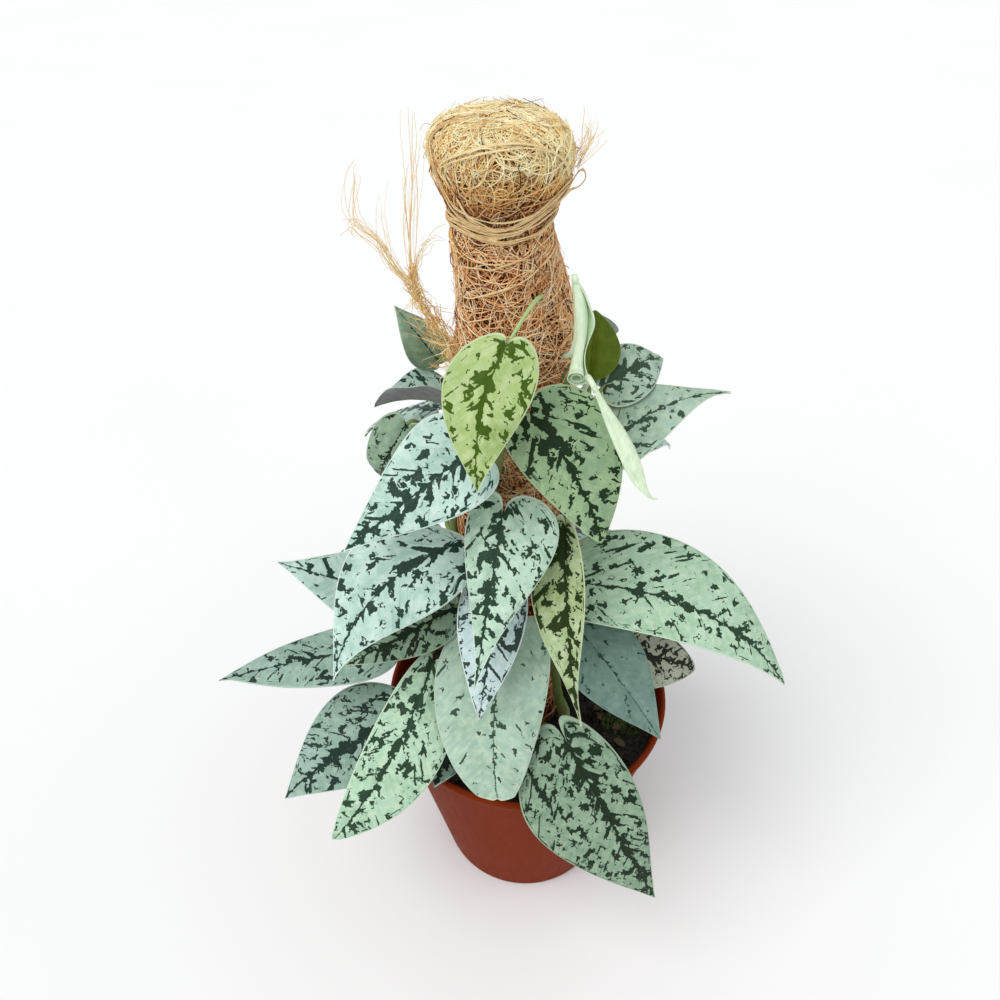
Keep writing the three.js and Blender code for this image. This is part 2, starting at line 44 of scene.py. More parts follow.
CAMERA_PLACE = (-0.015, -0.3229, 0.5099)
CAMERA_TILT = 38.4
LENS = 32.4
SENSOR_WIDTH = 36

bpy.ops.object.select_all(action="DESELECT")
bpy.ops.object.camera_add(location=CAMERA_PLACE, rotation=(math.radians(90 - CAMERA_TILT), 0, 0))
camera = bpy.context.object
camera.name = "front_camera"
camera.data.lens = LENS
camera.data.sensor_width = SENSOR_WIDTH
camera.data.clip_start = 0.01
bpy.context.scene.camera = camera
bpy.context.scene.view_settings.view_transform = "Standard"


# Floor and light. The plant stands on a plain white studio sheet in an even white room, under one broad soft
# light from the upper left, a weaker one from the right and a third from behind.

def srgb(red, green, blue):
    """A colour given as 0 to 255 on a screen, as the linear colour that a shader takes."""
    steps = [value / 255 for value in (red, green, blue)]
    return tuple(s / 12.92 if s <= 0.04045 else ((s + 0.055) / 1.055) ** 2.4 for s in steps) + (1.0,)


def put(tree, socket, value):
    """Links a socket to a socket, or sets it to a plain value."""
    if isinstance(value, bpy.types.NodeSocket):
        tree.links.new(value, socket)
    else:
        socket.default_value = value


def grain(tree, vector, scale, detail=2.0, roughness=0.5):
    """A noise that has about its mean value, 0.5, over most of a surface."""
    node = tree.nodes.new("ShaderNodeTexNoise")
    put(tree, node.inputs["Vector"], vector)
    node.inputs["Scale"].default_value = scale
    node.inputs["Detail"].default_value = detail
    node.inputs["Roughness"].default_value = roughness
    return node.outputs["Fac"]


def blend_colours(tree, share, first, second):
    """The first colour where the share is 0, and the second where it is 1."""
    node = tree.nodes.new("ShaderNodeMix")
    node.data_type = "RGBA"
    put(tree, node.inputs[0], share)
    put(tree, node.inputs[6], first)
    put(tree, node.inputs[7], second)
    return node.outputs[2]


def new_material(name):
    """A new finish, with its tree of nodes and its shader."""
    material = bpy.data.materials.new(name)
    material.use_nodes = True
    tree = material.node_tree
    shader = tree.nodes["Principled BSDF"]
    return material, tree, shader


def object_place(tree):
    """The place of each point on its piece, in metres."""
    return tree.nodes.new("ShaderNodeTexCoord").outputs["Object"]


def coat(tree, shader, colour, roughness):
    """Gives a finish its colour and its roughness, each a socket or a plain value."""
    put(tree, shader.inputs["Base Color"], colour)
    put(tree, shader.inputs["Roughness"], roughness)


FLOOR_WIDTH = 14
AIR_COLOUR = srgb(250, 252, 255)
AIR_STRENGTH = 0.52

bpy.ops.mesh.primitive_plane_add(size=FLOOR_WIDTH, location=(0, 0, 0))
floor = bpy.context.object
floor.name = "studio_floor"
floor_paint, tree, shader = new_material("studio_white")
cloudy = grain(tree, object_place(tree), 3.0)
coat(tree, shader, blend_colours(tree, cloudy, srgb(246, 246, 245), srgb(250, 250, 249)), 0.9)
floor.data.materials.append(floor_paint)

world = bpy.data.worlds.new("studio_air")
world.use_nodes = True
air = world.node_tree.nodes["Background"]
air.inputs["Color"].default_value = AIR_COLOUR
air.inputs["Strength"].default_value = AIR_STRENGTH
bpy.context.scene.world = world

# Each light: the way that it shines, how wide its source looks, in degrees, and its strength.
STUDIO_LIGHTS = {
    "key_light": ((0.55, 0.5, -1.0), 45, 1.75),
    "fill_light": ((-0.9, 0.5, -0.8), 80, 0.35),
    "back_light": ((-0.2, -1.0, -0.7), 60, 0.25),
}
for name, (aim, width, strength) in STUDIO_LIGHTS.items():
    bpy.ops.object.light_add(type="SUN", location=(-aim[0], -aim[1], -aim[2]))
    light = bpy.context.object
    light.name = name
    light.data.angle = math.radians(width)
    light.data.energy = strength
    tilt = math.atan2(math.hypot(aim[0], aim[1]), -aim[2])
    light.rotation_euler = (tilt, 0, math.atan2(-aim[0], aim[1]))


# Pot. A thin tapered shell of terracotta-coloured polypropylene, moulded in one piece with a rolled lip and
# with drain holes in its floor. The plant and its pole stand in it.

# Radius and height along the shell, in millimetres: up from the foot to the lip, then down to the floor.
POT_OUTSIDE = [
    (43.0, 0.0), (44.8, 0.25), (46.1, 1.0), (46.9, 2.2), (47.4, 4.0), (57.5, 50.0), (66.7, 92.0),
    (71.7, 114.5), (72.6, 118.6), (73.3, 119.7), (74.2, 120.4), (74.8, 121.3), (75.0, 122.6),
    (74.8, 123.9), (74.2, 124.7), (73.3, 125.0), (72.5, 124.6), (72.0, 123.6),
]
POT_INSIDE = [(71.3, 119.5), (70.4, 115.0), (65.3, 92.0), (56.1, 50.0), (46.6, 6.5), (45.2, 3.4), (43.4, 2.4)]
DRAIN_HOLES = 6
HOLE_RING = 27.0
HOLE_RADIUS = 4.0


def calc(tree, operation, *values):
    """One step of arithmetic with sockets or plain values."""
    node = tree.nodes.new("ShaderNodeMath")
    node.operation = operation
    for socket, value in zip(node.inputs, values):
        put(tree, socket, value)
    return node.outputs[0]


def stretched(tree, vector, scale):
    """The same coordinates, stretched along each axis."""
    node = tree.nodes.new("ShaderNodeVectorMath")
    node.operation = "MULTIPLY"
    put(tree, node.inputs[0], vector)
    node.inputs[1].default_value = scale
    return node.outputs[0]


def between(tree, value, low, high, smooth=True):
    """0 up to low, 1 from high on, and a smooth step between them."""
    node = tree.nodes.new("ShaderNodeMapRange")
    node.interpolation_type = "SMOOTHSTEP" if smooth else "LINEAR"
    put(tree, node.inputs["Value"], value)
    put(tree, node.inputs["From Min"], low)
    put(tree, node.inputs["From Max"], high)
    return node.outputs["Result"]


def bump(tree, shader, height, strength, distance):
    """Raises a finish by a height that changes over the surface."""
    node = tree.nodes.new("ShaderNodeBump")
    node.inputs["Strength"].default_value = strength
    node.inputs["Distance"].default_value = distance
    tree.links.new(height, node.inputs["Height"])
    tree.links.new(node.outputs["Normal"], shader.inputs["Normal"])


def settle(piece, slot, *nodes):
    """Hangs a finished piece on the root body and hides the parts of model.glb that it stands for. slot is
    not used.
    """
    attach(piece, "root")
    if nodes:
        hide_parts(*nodes)


bpy.ops.object.select_all(action="DESELECT")
bpy.ops.mesh.primitive_circle_add(vertices=160, radius=POT_OUTSIDE[0][0] / 1000, fill_type="NGON")
pot = bpy.context.object
pot.name = "pot_shell"
bpy.ops.object.mode_set(mode="EDIT")
bpy.ops.mesh.select_all(action="SELECT")
radius, height = POT_OUTSIDE[0]
for next_radius, next_height in POT_OUTSIDE[1:] + POT_INSIDE:
    rise = (0, 0, (next_height - height) / 1000)
    bpy.ops.mesh.extrude_region_move(TRANSFORM_OT_translate={"value": rise})
    widen = next_radius / radius
    bpy.ops.transform.resize(value=(widen, widen, 1), center_override=(0, 0, next_height / 1000))
    radius, height = next_radius, next_height
bpy.ops.mesh.select_all(action="SELECT")
bpy.ops.mesh.normals_make_consistent(inside=False)
bpy.ops.object.mode_set(mode="OBJECT")

for number in range(DRAIN_HOLES):
    angle = number * 2 * math.pi / DRAIN_HOLES
    place = (HOLE_RING / 1000 * math.cos(angle), HOLE_RING / 1000 * math.sin(angle), 0.001)
    bpy.ops.mesh.primitive_cylinder_add(vertices=24, radius=HOLE_RADIUS / 1000, depth=0.01, location=place)
    drill = bpy.context.object
    bpy.ops.object.select_all(action="DESELECT")
    bpy.context.view_layer.objects.active = pot
    cut = pot.modifiers.new("drain_hole", "BOOLEAN")
    cut.operation = "DIFFERENCE"
    cut.object = drill
    bpy.ops.object.modifier_apply(modifier="drain_hole")
    bpy.data.objects.remove(drill)
pot.select_set(True)
bpy.ops.object.shade_smooth_by_angle(angle=math.radians(40))

pot_plastic, tree, shader = new_material("terracotta_plastic")
place = object_place(tree)
broad = grain(tree, place, 14.0, 3.0)
streaks = grain(tree, stretched(tree, place, (260, 260, 9)), 1.0, 2.0, 0.6)
body = blend_colours(tree, broad, srgb(120, 41, 10), srgb(130, 47, 14))
worn = blend_colours(tree, calc(tree, "MULTIPLY", streaks, 0.3), body, srgb(104, 36, 9))
splash = between(tree, grain(tree, place, 95.0, 4.0, 0.7), 0.6, 0.72)
dusty = blend_colours(tree, calc(tree, "MULTIPLY", splash, 0.12), worn, srgb(92, 52, 38))
coat(tree, shader, dusty, calc(tree, "ADD", calc(tree, "MULTIPLY", streaks, 0.2), 0.42))
shader.inputs["Specular IOR Level"].default_value = 0.03
bump(tree, shader, grain(tree, place, 900.0, 2.0), 0.12, 0.0004)
pot.data.materials.append(pot_plastic)
settle(pot, "pot_plastic", "pot")


# Soil. Dark, damp peat mix filled in by hand to under the lip, a little higher round the pole. Crumbs of it
# and of composted bark lie loose on top.

SOIL_TOP = 111.0
SOIL_RADIUS = 70.0
SOIL_DEPTH = 106.0
SOIL_TAPER = 24.5
POLE_AXIS = -9.0
POLE_ROOM = 27
crumb_dice = np.random.default_rng(5)


def soil_height(x, y):
    """The lie of the soil's surface, in millimetres."""
    swell = 1.3 * np.sin(x * 0.21 + 1) * np.cos(y * 0.17) + 0.9 * np.sin(x * 0.37 - y * 0.43)
    lumps = 0.7 * np.sin(x * 0.9 + 2 * np.sin(y * 0.5)) * np.sin(y * 0.83 + 1.5 * np.sin(x * 0.41))
    off_pole = np.maximum(np.hypot(x - POLE_AXIS, y) - 24, 0)
    mound = 2.0 * np.exp(-off_pole / 9)
    return SOIL_TOP + 0.8 + swell + lumps + mound


bpy.ops.object.select_all(action="DESELECT")
bpy.ops.mesh.primitive_uv_sphere_add(segments=120, ring_count=110, radius=1)
soil = bpy.context.object
soil.name = "potting_mix"
# The upper half of the ball is laid out flat as the top of the soil, and the lower half fills the pot.
for vertex in soil.data.vertices:
    x, y, z = vertex.co
    turn = math.atan2(y, x)
    level = math.asin(max(-1.0, min(1.0, z)))
    if level >= 0:
        reach = SOIL_RADIUS * (1 - level / (math.pi / 2))
        flat_x, flat_y = reach * math.cos(turn), reach * math.sin(turn)
        vertex.co = (flat_x / 1000, flat_y / 1000, float(soil_height(flat_x, flat_y)) / 1000)
    else:
        down = min(1.0, -level / 1.2)
        reach = (SOIL_RADIUS - SOIL_TAPER * down) * min(1.0, (math.pi / 2 + level) / 0.3)
        depth = SOIL_TOP - SOIL_DEPTH * down
        vertex.co = (reach * math.cos(turn) / 1000, reach * math.sin(turn) / 1000, depth / 1000)
bpy.ops.object.shade_smooth()

potting_mix, tree, shader = new_material("potting_mix")
place = object_place(tree)
clods = grain(tree, place, 420.0, 4.0, 0.65)
specks = grain(tree, place, 1500.0, 2.0)
peat = blend_colours(tree, between(tree, clods, 0.35, 0.66), srgb(14, 11, 9), srgb(48, 37, 28))
chips = blend_colours(tree, between(tree, specks, 0.64, 0.7), peat, srgb(92, 70, 50))
coat(tree, shader, chips, between(tree, clods, 1.1, 0.1))
bump(tree, shader, clods, 0.9, 0.003)
soil.data.materials.append(potting_mix)
settle(soil, "potting_mix", "soil")


def in_metres(points):
    """Millimetres, which all sizes of the plant are given in, as Blender's metres."""
    return np.asarray(points, float) / 1000


def link_mesh(name, points, faces, smooth=True, **attributes):
    """Makes an object from points in millimetres. An attribute holds a value or a vector for each point."""
    mesh = bpy.data.meshes.new(name)
    mesh.from_pydata(in_metres(points).tolist(), [], faces.tolist() if hasattr(faces, "tolist") else faces)
    for label, values in attributes.items():
        values = np.asarray(values, np.float32)
        kind, key = ("FLOAT", "value") if values.ndim == 1 else ("FLOAT_VECTOR", "vector")
        mesh.attributes.new(label, kind, "POINT").data.foreach_set(key, values.ravel())
    mesh.validate()
    if smooth:
        mesh.shade_smooth()
    piece = bpy.data.objects.new(name, mesh)
    bpy.context.scene.collection.objects.link(piece)
    return piece


def scattered(name, size, flatness, places, material, slot):
    """Copies of one rough lump, each turned, squashed and pulled out of shape, joined in one piece."""
    bpy.ops.object.select_all(action="DESELECT")
    bpy.ops.mesh.primitive_ico_sphere_add(subdivisions=2, radius=1)
    pattern = bpy.context.object
    lump = np.array([vertex.co[:] for vertex in pattern.data.vertices])
    lump_faces = np.array([polygon.vertices[:] for polygon in pattern.data.polygons])
    bpy.data.objects.remove(pattern)
    points, faces, tints = [], [], []
    for number, (x, y, z) in enumerate(places):
        turn = crumb_dice.uniform(0, 2 * math.pi)
        grown = size * crumb_dice.uniform(0.5, 1.0)
        stretch = grown * np.array([1.0, crumb_dice.uniform(0.45, 0.9), flatness])
        shape = lump * (1 + crumb_dice.uniform(-0.28, 0.28, (len(lump), 1))) * stretch
        tip = crumb_dice.uniform(-0.5, 0.5)
        cosine, sine = math.cos(turn), math.sin(turn)
        around = np.array([[cosine, -sine, 0], [sine, cosine, 0], [0, 0, 1]])
        cosine, sine = math.cos(tip), math.sin(tip)
        over = np.array([[1, 0, 0], [0, cosine, -sine], [0, sine, cosine]])
        points.append(shape @ over.T @ around.T + (x, y, z))
        faces.append(lump_faces + number * len(lump))
        tints.append(np.full(len(lump), crumb_dice.random()))
    piece = link_mesh(name, np.concatenate(points), np.concatenate(faces), False, tint=np.concatenate(tints))
    piece.data.materials.append(material)
    settle(piece, slot)


def on_soil(count, near, far, sink):
    """Random places on the soil between two distances from the pot's axis, clear of the pole."""
    places = []
    while len(places) < count:
        reach, turn = crumb_dice.uniform(near, far), crumb_dice.uniform(0, 2 * math.pi)
        x, y = reach * math.cos(turn), reach * math.sin(turn)
        if math.hypot(x - POLE_AXIS, y) > POLE_ROOM:
            places.append((x, y, float(soil_height(x, y)) + sink))
    return places


def carried(tree, label, output="Fac"):
    """What the points of a mesh carry under a label, such as the tint of each crumb."""
    reader = tree.nodes.new("ShaderNodeAttribute")
    reader.attribute_name = label
    return reader.outputs[output]


crumb_finish, tree, shader = new_material("peat_crumbs")
clods = grain(tree, object_place(tree), 900.0, 3.0, 0.6)
dark = blend_colours(tree, clods, srgb(12, 9, 7), srgb(46, 34, 25))
barky = between(tree, carried(tree, "tint"), 0.6, 1.0)
coat(tree, shader, blend_colours(tree, barky, dark, srgb(86, 62, 42)), 0.92)
bump(tree, shader, clods, 0.6, 0.001)
scattered("soil_crumbs", 1.9, 0.7, on_soil(620, 12, 68.5, 0.3), crumb_finish, "potting_mix")

bark_finish, tree, shader = new_material("bark_chips")
fibrous = grain(tree, stretched(tree, object_place(tree), (900, 300, 900)), 1.0, 3.0, 0.6)
rusty = blend_colours(tree, fibrous, srgb(52, 32, 22), srgb(120, 84, 58))
coat(tree, shader, blend_colours(tree, carried(tree, "tint"), rusty, srgb(96, 80, 66)), 0.85)
bump(tree, shader, fibrous, 0.5, 0.0008)
scattered("bark_chips", 4.6, 0.3, on_soil(46, 34, 66, 1.4), bark_finish, "potting_mix")

MOSS_MIDDLE = (52.0, -8.0)
MOSS_REACH = 13
moss_places = []
for _ in range(420):
    reach, turn = MOSS_REACH * crumb_dice.random() ** 0.6, crumb_dice.uniform(0, 2 * math.pi)
    x, y = MOSS_MIDDLE[0] + reach * math.cos(turn), MOSS_MIDDLE[1] + 1.4 * reach * math.sin(turn)
    if math.hypot(x, y) < 68:
        moss_places.append((x, y, float(soil_height(x, y)) + 0.6 + 1.2 * (1 - reach / MOSS_REACH)))
moss_finish, tree, shader = new_material("moss")
coat(tree, shader, blend_colours(tree, carried(tree, "tint"), srgb(38, 50, 20), srgb(84, 100, 40)), 0.9)
bump(tree, shader, grain(tree, object_place(tree), 2600.0, 2.0), 0.8, 0.0006)
scattered("moss_patch", 1.3, 1.2, moss_places, moss_finish, "potting_mix")


# Stake. A turned softwood rod that stands on the pot's floor and carries the coir. The mat hides it, so the
# solid is kept as it is and only gets its wood.

stake_wood, tree, shader = new_material("stake_wood")
rings = grain(tree, stretched(tree, object_place(tree), (500, 500, 14)), 1.0, 3.0, 0.6)
coat(tree, shader, blend_colours(tree, rings, srgb(150, 116, 76), srgb(198, 166, 120)), 0.75)
bump(tree, shader, rings, 0.3, 0.0004)
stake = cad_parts["stake"]
stake.data.materials.clear()
stake.data.materials.append(stake_wood)


# Coir pole. A mat of coconut fibre rolled round the stake, pinched in at the neck by the tie and folded over
# into a bun. The mat is one felted body; the fibres that lie on it and stand off it are laid one by one.

# Height and radius of the roll, from its foot in the soil up to the bun.
COIR_OUTLINE = [
    (24, 22.5), (330, 22.8), (350, 22.8), (362, 20.8), (375, 18), (384, 16.6), (390, 16.8), (398, 20.3),
    (404, 22.8), (410, 24.5), (424, 24.5),
]
# The mat leans to the left over this height, by this much.
LEAN_FROM = 342
LEAN_HEIGHT = 52
BUN_LEAN = 5.6
BUN_MIDDLE = np.array([POLE_AXIS - BUN_LEAN, 0.0, 410.0])
BUN_REACH = 24.5
BUN_RISE = 12.5
TIE_HEIGHT = 387
coir_dice = np.random.default_rng(21)


def coir_radius(height):
    """How thick the roll is at a height."""
    heights, radii = zip(*COIR_OUTLINE)
    return np.interp(height, heights, radii)


def coir_centre(height):
    """How far the mat's middle lies to the right of the pot's axis: the bun leans to the left."""
    t = ((height - LEAN_FROM) / LEAN_HEIGHT).clip(0, 1)
    return POLE_AXIS - BUN_LEAN * t * t * (3 - 2 * t)


def onto_coir(points, proud):
    """Moves points straight in or out until they lie a given distance off the mat."""
    x, y, z = np.moveaxis(np.asarray(points, float), -1, 0)
    centre = coir_centre(z)
    angle = np.arctan2(y, x - centre)
    ridges = 0.9 * np.sin(2 * angle + z * 0.085) + 0.6 * np.sin(3 * angle - z * 0.14 + 1)
    reach = coir_radius(z) + ridges + proud
    wall = np.stack([centre + reach * np.cos(angle), reach * np.sin(angle), z], -1)
    off = np.stack([x, y, z], -1) - BUN_MIDDLE
    flat = np.hypot(off[..., 0], off[..., 1]) / (BUN_REACH + ridges)
    size = (flat**2.6 + (off[..., 2].clip(0) / BUN_RISE) ** 2.6) ** (1 / 2.6)
    size = np.maximum(size, 1e-6)
    dome = BUN_MIDDLE + off / size[..., None] * (1 + np.asarray(proud) / 24)[..., None]
    return np.where((z > BUN_MIDDLE[2])[..., None], dome, wall)


def coir_normal(points):
    """The way that the mat faces beside each point."""
    x, y, z = np.moveaxis(points, -1, 0)
    steep = np.where(z > BUN_MIDDLE[2], (z - BUN_MIDDLE[2]) * (BUN_REACH / BUN_RISE) ** 2, 0)
    outward = np.stack([x - coir_centre(z), y, steep], -1)
    return outward / np.linalg.norm(outward, axis=-1, keepdims=True)


bpy.ops.object.select_all(action="DESELECT")
bpy.ops.mesh.primitive_uv_sphere_add(segments=96, ring_count=220, radius=1)
mat = bpy.context.object
mat.name = "coir_mat"
# Most of the ball's height is drawn out to the wall of the roll, and the rest is its crown.
WALL_SHARE = 0.9
foot, shoulder = COIR_OUTLINE[0][0], BUN_MIDDLE[2]
shape = np.array([vertex.co[:] for vertex in mat.data.vertices])
level = np.arcsin(shape[:, 2].clip(-1, 1)) / math.pi + 0.5
turn = np.arctan2(shape[:, 1], shape[:, 0])
in_wall = level < WALL_SHARE
dome = ((level - WALL_SHARE) / (1 - WALL_SHARE)).clip(0, 1) * math.pi / 2
height = np.where(in_wall, foot + (shoulder - foot) * (level / WALL_SHARE), shoulder + 20 * np.sin(dome))
reach = np.where(in_wall, 20.0, 20.0 * np.cos(dome)) * (level / 0.004).clip(0, 1)
seat = np.stack([coir_centre(height) + reach * np.cos(turn), reach * np.sin(turn), height], -1)
lumps = 0.35 * np.sin(turn * 7 + height * 0.3) * np.sin(height * 0.23 + turn * 2)
skin = onto_coir(seat, lumps - 0.7)
skin[level < 0.004] = seat[level < 0.004]
mat.data.vertices.foreach_set("co", in_metres(skin).ravel())
mat.data.update()
bpy.ops.object.shade_smooth()

coir_felt, tree, shader = new_material("coir_felt")
place = object_place(tree)
warped = tree.nodes.new("ShaderNodeVectorMath")
warped.operation = "MULTIPLY_ADD"
swirl = tree.nodes.new("ShaderNodeTexNoise")
tree.links.new(place, swirl.inputs["Vector"])
swirl.inputs["Scale"].default_value = 90
tree.links.new(swirl.outputs["Color"], warped.inputs[0])
warped.inputs[1].default_value = (0.012, 0.012, 0.012)
tree.links.new(place, warped.inputs[2])
cross_strands = grain(tree, stretched(tree, warped.outputs[0], (220, 220, 1900)), 1.0, 2.0, 0.6)
down_strands = grain(tree, stretched(tree, warped.outputs[0], (1700, 1700, 160)), 1.0, 2.0, 0.6)
felted = calc(tree, "MAXIMUM", cross_strands, down_strands)
# The mat runs from russet down to near black. The near black is partly the coir's own colour and partly
# painted shade in the gaps between the fibres laid on it.
felt_and_gap_shade = blend_colours(tree, between(tree, felted, 0.48, 0.66), srgb(48, 22, 10), srgb(146, 84, 46))
patchy = between(tree, grain(tree, place, 60.0, 3.0), 0.4, 0.65)
coat(tree, shader, blend_colours(tree, calc(tree, "MULTIPLY", patchy, 0.45), felt_and_gap_shade, srgb(74, 36, 20)), 0.95)
shader.inputs["Specular IOR Level"].default_value = 0.1
bump(tree, shader, felted, 1.0, 0.002)
mat.data.materials.append(coir_felt)
settle(mat, "coir", "coir_pole")


def fibre_piece(name, paths, radii, tints, normals=None):
    """Three-sided strands that taper to both ends. paths is steps by strands by 3, in millimetres, and
    tints is one value for each strand, or one for each step of each."""
    steps, count, _ = paths.shape
    along = np.gradient(paths, axis=0)
    along /= np.linalg.norm(along, axis=-1, keepdims=True) + 1e-9
    outward = coir_normal(paths) if normals is None else normals
    side = np.cross(along, outward)
    side /= np.linalg.norm(side, axis=-1, keepdims=True) + 1e-9
    lift = np.cross(side, along)
    share = np.linspace(0, 1, steps)[:, None]
    taper = 0.35 + 0.65 * np.sin(math.pi * (0.08 + 0.84 * share))
    radius = (taper * radii[None, :])[..., None]
    corners = [
        paths + radius * (math.cos(a) * side + math.sin(a) * lift)
        for a in (math.pi / 2, math.pi * 7 / 6, math.pi * 11 / 6)
    ]
    points = np.stack(corners, 2)
    index = np.arange(steps * count * 3).reshape(steps, count, 3)
    here, there = index[:-1], index[1:]
    walls = np.stack([here, np.roll(here, -1, 2), np.roll(there, -1, 2), there], -1).reshape(-1, 4)
    caps = [index[0][:, ::-1], index[-1]]
    faces = walls.tolist() + caps[0].tolist() + caps[1].tolist()
    tint = np.repeat(np.broadcast_to(tints, (steps, count))[..., None], 3, axis=2).ravel()
    return link_mesh(name, points.reshape(-1, 3), faces, tint=tint)


def laid_fibres(starts, slopes, steps, stride, proud, lift, wander, bend):
    """Strands that creep over the mat. slopes is each one's first direction, 0 level and 90 upright.
    wander is how much a strand strays, and bend how far it keeps turning one way. The tie presses
    them down."""
    count = len(starts)
    place = onto_coir(starts, proud)
    normal = coir_normal(place)
    level = np.cross([0.0, 0.0, 1.0], normal)
    level /= np.linalg.norm(level, axis=-1, keepdims=True) + 1e-9
    upright = np.cross(normal, level)
    angle = np.radians(slopes)[:, None]
    heading = np.cos(angle) * level + np.sin(angle) * upright
    curl = coir_dice.normal(0, wander, count)
    steady = coir_dice.normal(0, bend, count)
    loose_start = lift * (coir_dice.random(count) < 0.5)
    loose_end = lift * (coir_dice.random(count) < 0.5)
    path = []
    for step in range(steps):
        share = step / (steps - 1)
        off = proud + loose_start * (1 - share) ** 3 + loose_end * share**3
        off = off + coir_dice.normal(0, 0.1, count)
        off = np.minimum(off, 0.8 + 0.16 * abs(place[:, 2] - TIE_HEIGHT))
        place = onto_coir(place, off)
        path.append(place)
        normal = coir_normal(place)
        curl = 0.7 * curl + coir_dice.normal(0, wander * 0.6, count)
        side = np.cross(normal, heading)
        turn = curl + steady
        heading = np.cos(turn)[:, None] * heading + np.sin(turn)[:, None] * side
        heading -= normal * (heading * normal).sum(-1, keepdims=True)
        heading /= np.linalg.norm(heading, axis=-1, keepdims=True) + 1e-9
        place = place + heading * stride[:, None]
        place[:, 2] = place[:, 2].clip(26, 430)
    return np.stack(path)


def fibre_finish(name, colours):
    """Plant fibre whose colour goes through five steps, from the darkest strand to the palest."""
    finish, tree, shader = new_material(name)
    ramp = tree.nodes.new("ShaderNodeValToRGB")
    while len(ramp.color_ramp.elements) < len(colours):
        ramp.color_ramp.elements.new(0.5)
    for number, (element, colour) in enumerate(zip(ramp.color_ramp.elements, colours)):
        element.position = number / (len(colours) - 1)
        element.color = srgb(*colour)
    uneven = grain(tree, object_place(tree), 160.0, 2.0)
    drift = calc(tree, "MULTIPLY", calc(tree, "SUBTRACT", uneven, 0.5), 0.5)
    tree.links.new(calc(tree, "ADD", carried(tree, "tint"), drift), ramp.inputs["Fac"])
    coat(tree, shader, ramp.outputs["Color"], between(tree, uneven, -0.6, 1.0, False))
    shader.inputs["Specular IOR Level"].default_value = 0.06
    return finish


RUSSET = [(64, 26, 10), (126, 64, 30), (228, 156, 98), (255, 214, 158), (255, 240, 204)]
STRAW = [(66, 28, 12), (152, 88, 44), (244, 188, 116), (255, 224, 154), (255, 246, 206)]
coir_fibre = fibre_finish("coir_fibre", RUSSET)
straw_fibre = fibre_finish("straw_fibre", STRAW)


def coir_fibres(name, count, low, high, pale):
    """Russet strands on one stretch of the mat. pale is how far their colours run to the light side."""
    heights = coir_dice.uniform(low, high, count)
    angles = coir_dice.uniform(0, 2 * math.pi, count)
    starts = np.stack([coir_centre(heights) + 20 * np.cos(angles), 20 * np.sin(angles), heights], -1)
    slopes = coir_dice.choice([-1, 1], count) * coir_dice.normal(30, 24, count)
    slopes = slopes + 180 * (coir_dice.random(count) < 0.5)
    depth = coir_dice.random(count)
    lift = coir_dice.exponential(1.0, count).clip(0, 5)
    stride = coir_dice.uniform(1.4, 4.2, count)
    paths = laid_fibres(starts, slopes, 12, stride, 1.5 * depth - 0.4, lift, 0.22, 0.14)
    radii = 0.24 * coir_dice.uniform(0.6, 1.4, count)
    # Strands that lie low, nearest the mat, get the darker tints: painted shade.
    tints = pale * (0.15 + 0.85 * depth) + coir_dice.normal(0, 0.16, count)
    piece = fibre_piece(name, paths, radii, tints.clip(0, 1))
    piece.data.materials.append(coir_fibre)
    settle(piece, "coir")


coir_fibres("coir_fibres_lower", 1300, 100, 262, 0.6)
coir_fibres("coir_fibres_middle", 2200, 255, 335, 0.88)
coir_fibres("coir_fibres_upper", 2400, 325, 406, 0.94)


def bun_fibres(name, count, thickness, pale, loose):
    """Straw-coloured strands that curl over the crown of the bun and down its sides, and turn red low
    down. loose is how far their ends stand off the bun on average."""
    crown = coir_dice.random(count) < 0.7
    angles = coir_dice.uniform(0, 2 * math.pi, count)
    reach = np.where(crown, 22 * coir_dice.random(count) ** 0.5, 23)
    heights = np.where(crown, 421.0, coir_dice.uniform(396, 412, count))
    starts = np.stack([BUN_MIDDLE[0] + reach * np.cos(angles), reach * np.sin(angles), heights], -1)
    slopes = np.where(crown, coir_dice.normal(-90, 40, count), coir_dice.normal(0, 60, count))
    depth = coir_dice.random(count)
    lift = coir_dice.exponential(loose, count).clip(0, 3 * loose + 2)
    stride = coir_dice.uniform(1.4, 3.2, count)
    paths = laid_fibres(starts, slopes, 14, stride, 2.2 * depth - 0.4, lift, 0.16, 0.26)
    radii = thickness * coir_dice.uniform(0.6, 1.4, count)
    high = ((paths[:, :, 2] - 394) / 17).clip(0, 1)
    # Strands that lie low, nearest the bun, get the darker tints: painted shade.
    light = 0.1 + 0.9 * depth
    matted = 0.09 * np.sin(starts[:, 0] * 0.42 + 1) * np.sin(starts[:, 1] * 0.5 + starts[:, 2] * 0.2)
    tints = (0.32 + (0.2 + pale) * high) * light + matted + coir_dice.normal(0.05, 0.15, count)
    piece = fibre_piece(name, paths, radii, tints.clip(0, 1))
    piece.data.materials.append(straw_fibre)
    settle(piece, "coir")


bun_fibres("coir_fibres_bun", 1700, 0.25, 0.58, 0.9)
bun_fibres("straw_on_bun", 90, 0.42, 0.75, 0.9)
bun_fibres("loose_on_bun", 170, 0.13, 0.5, 3.2)


# Neck tie. Flat straw-coloured raffia. It comes over the left rim of the bun, dips to the neck at the
# front and climbs to the right, goes round twice more and ends in a small loop. A second length lies over
# the bun's front, and two thin strips cross the pole below.

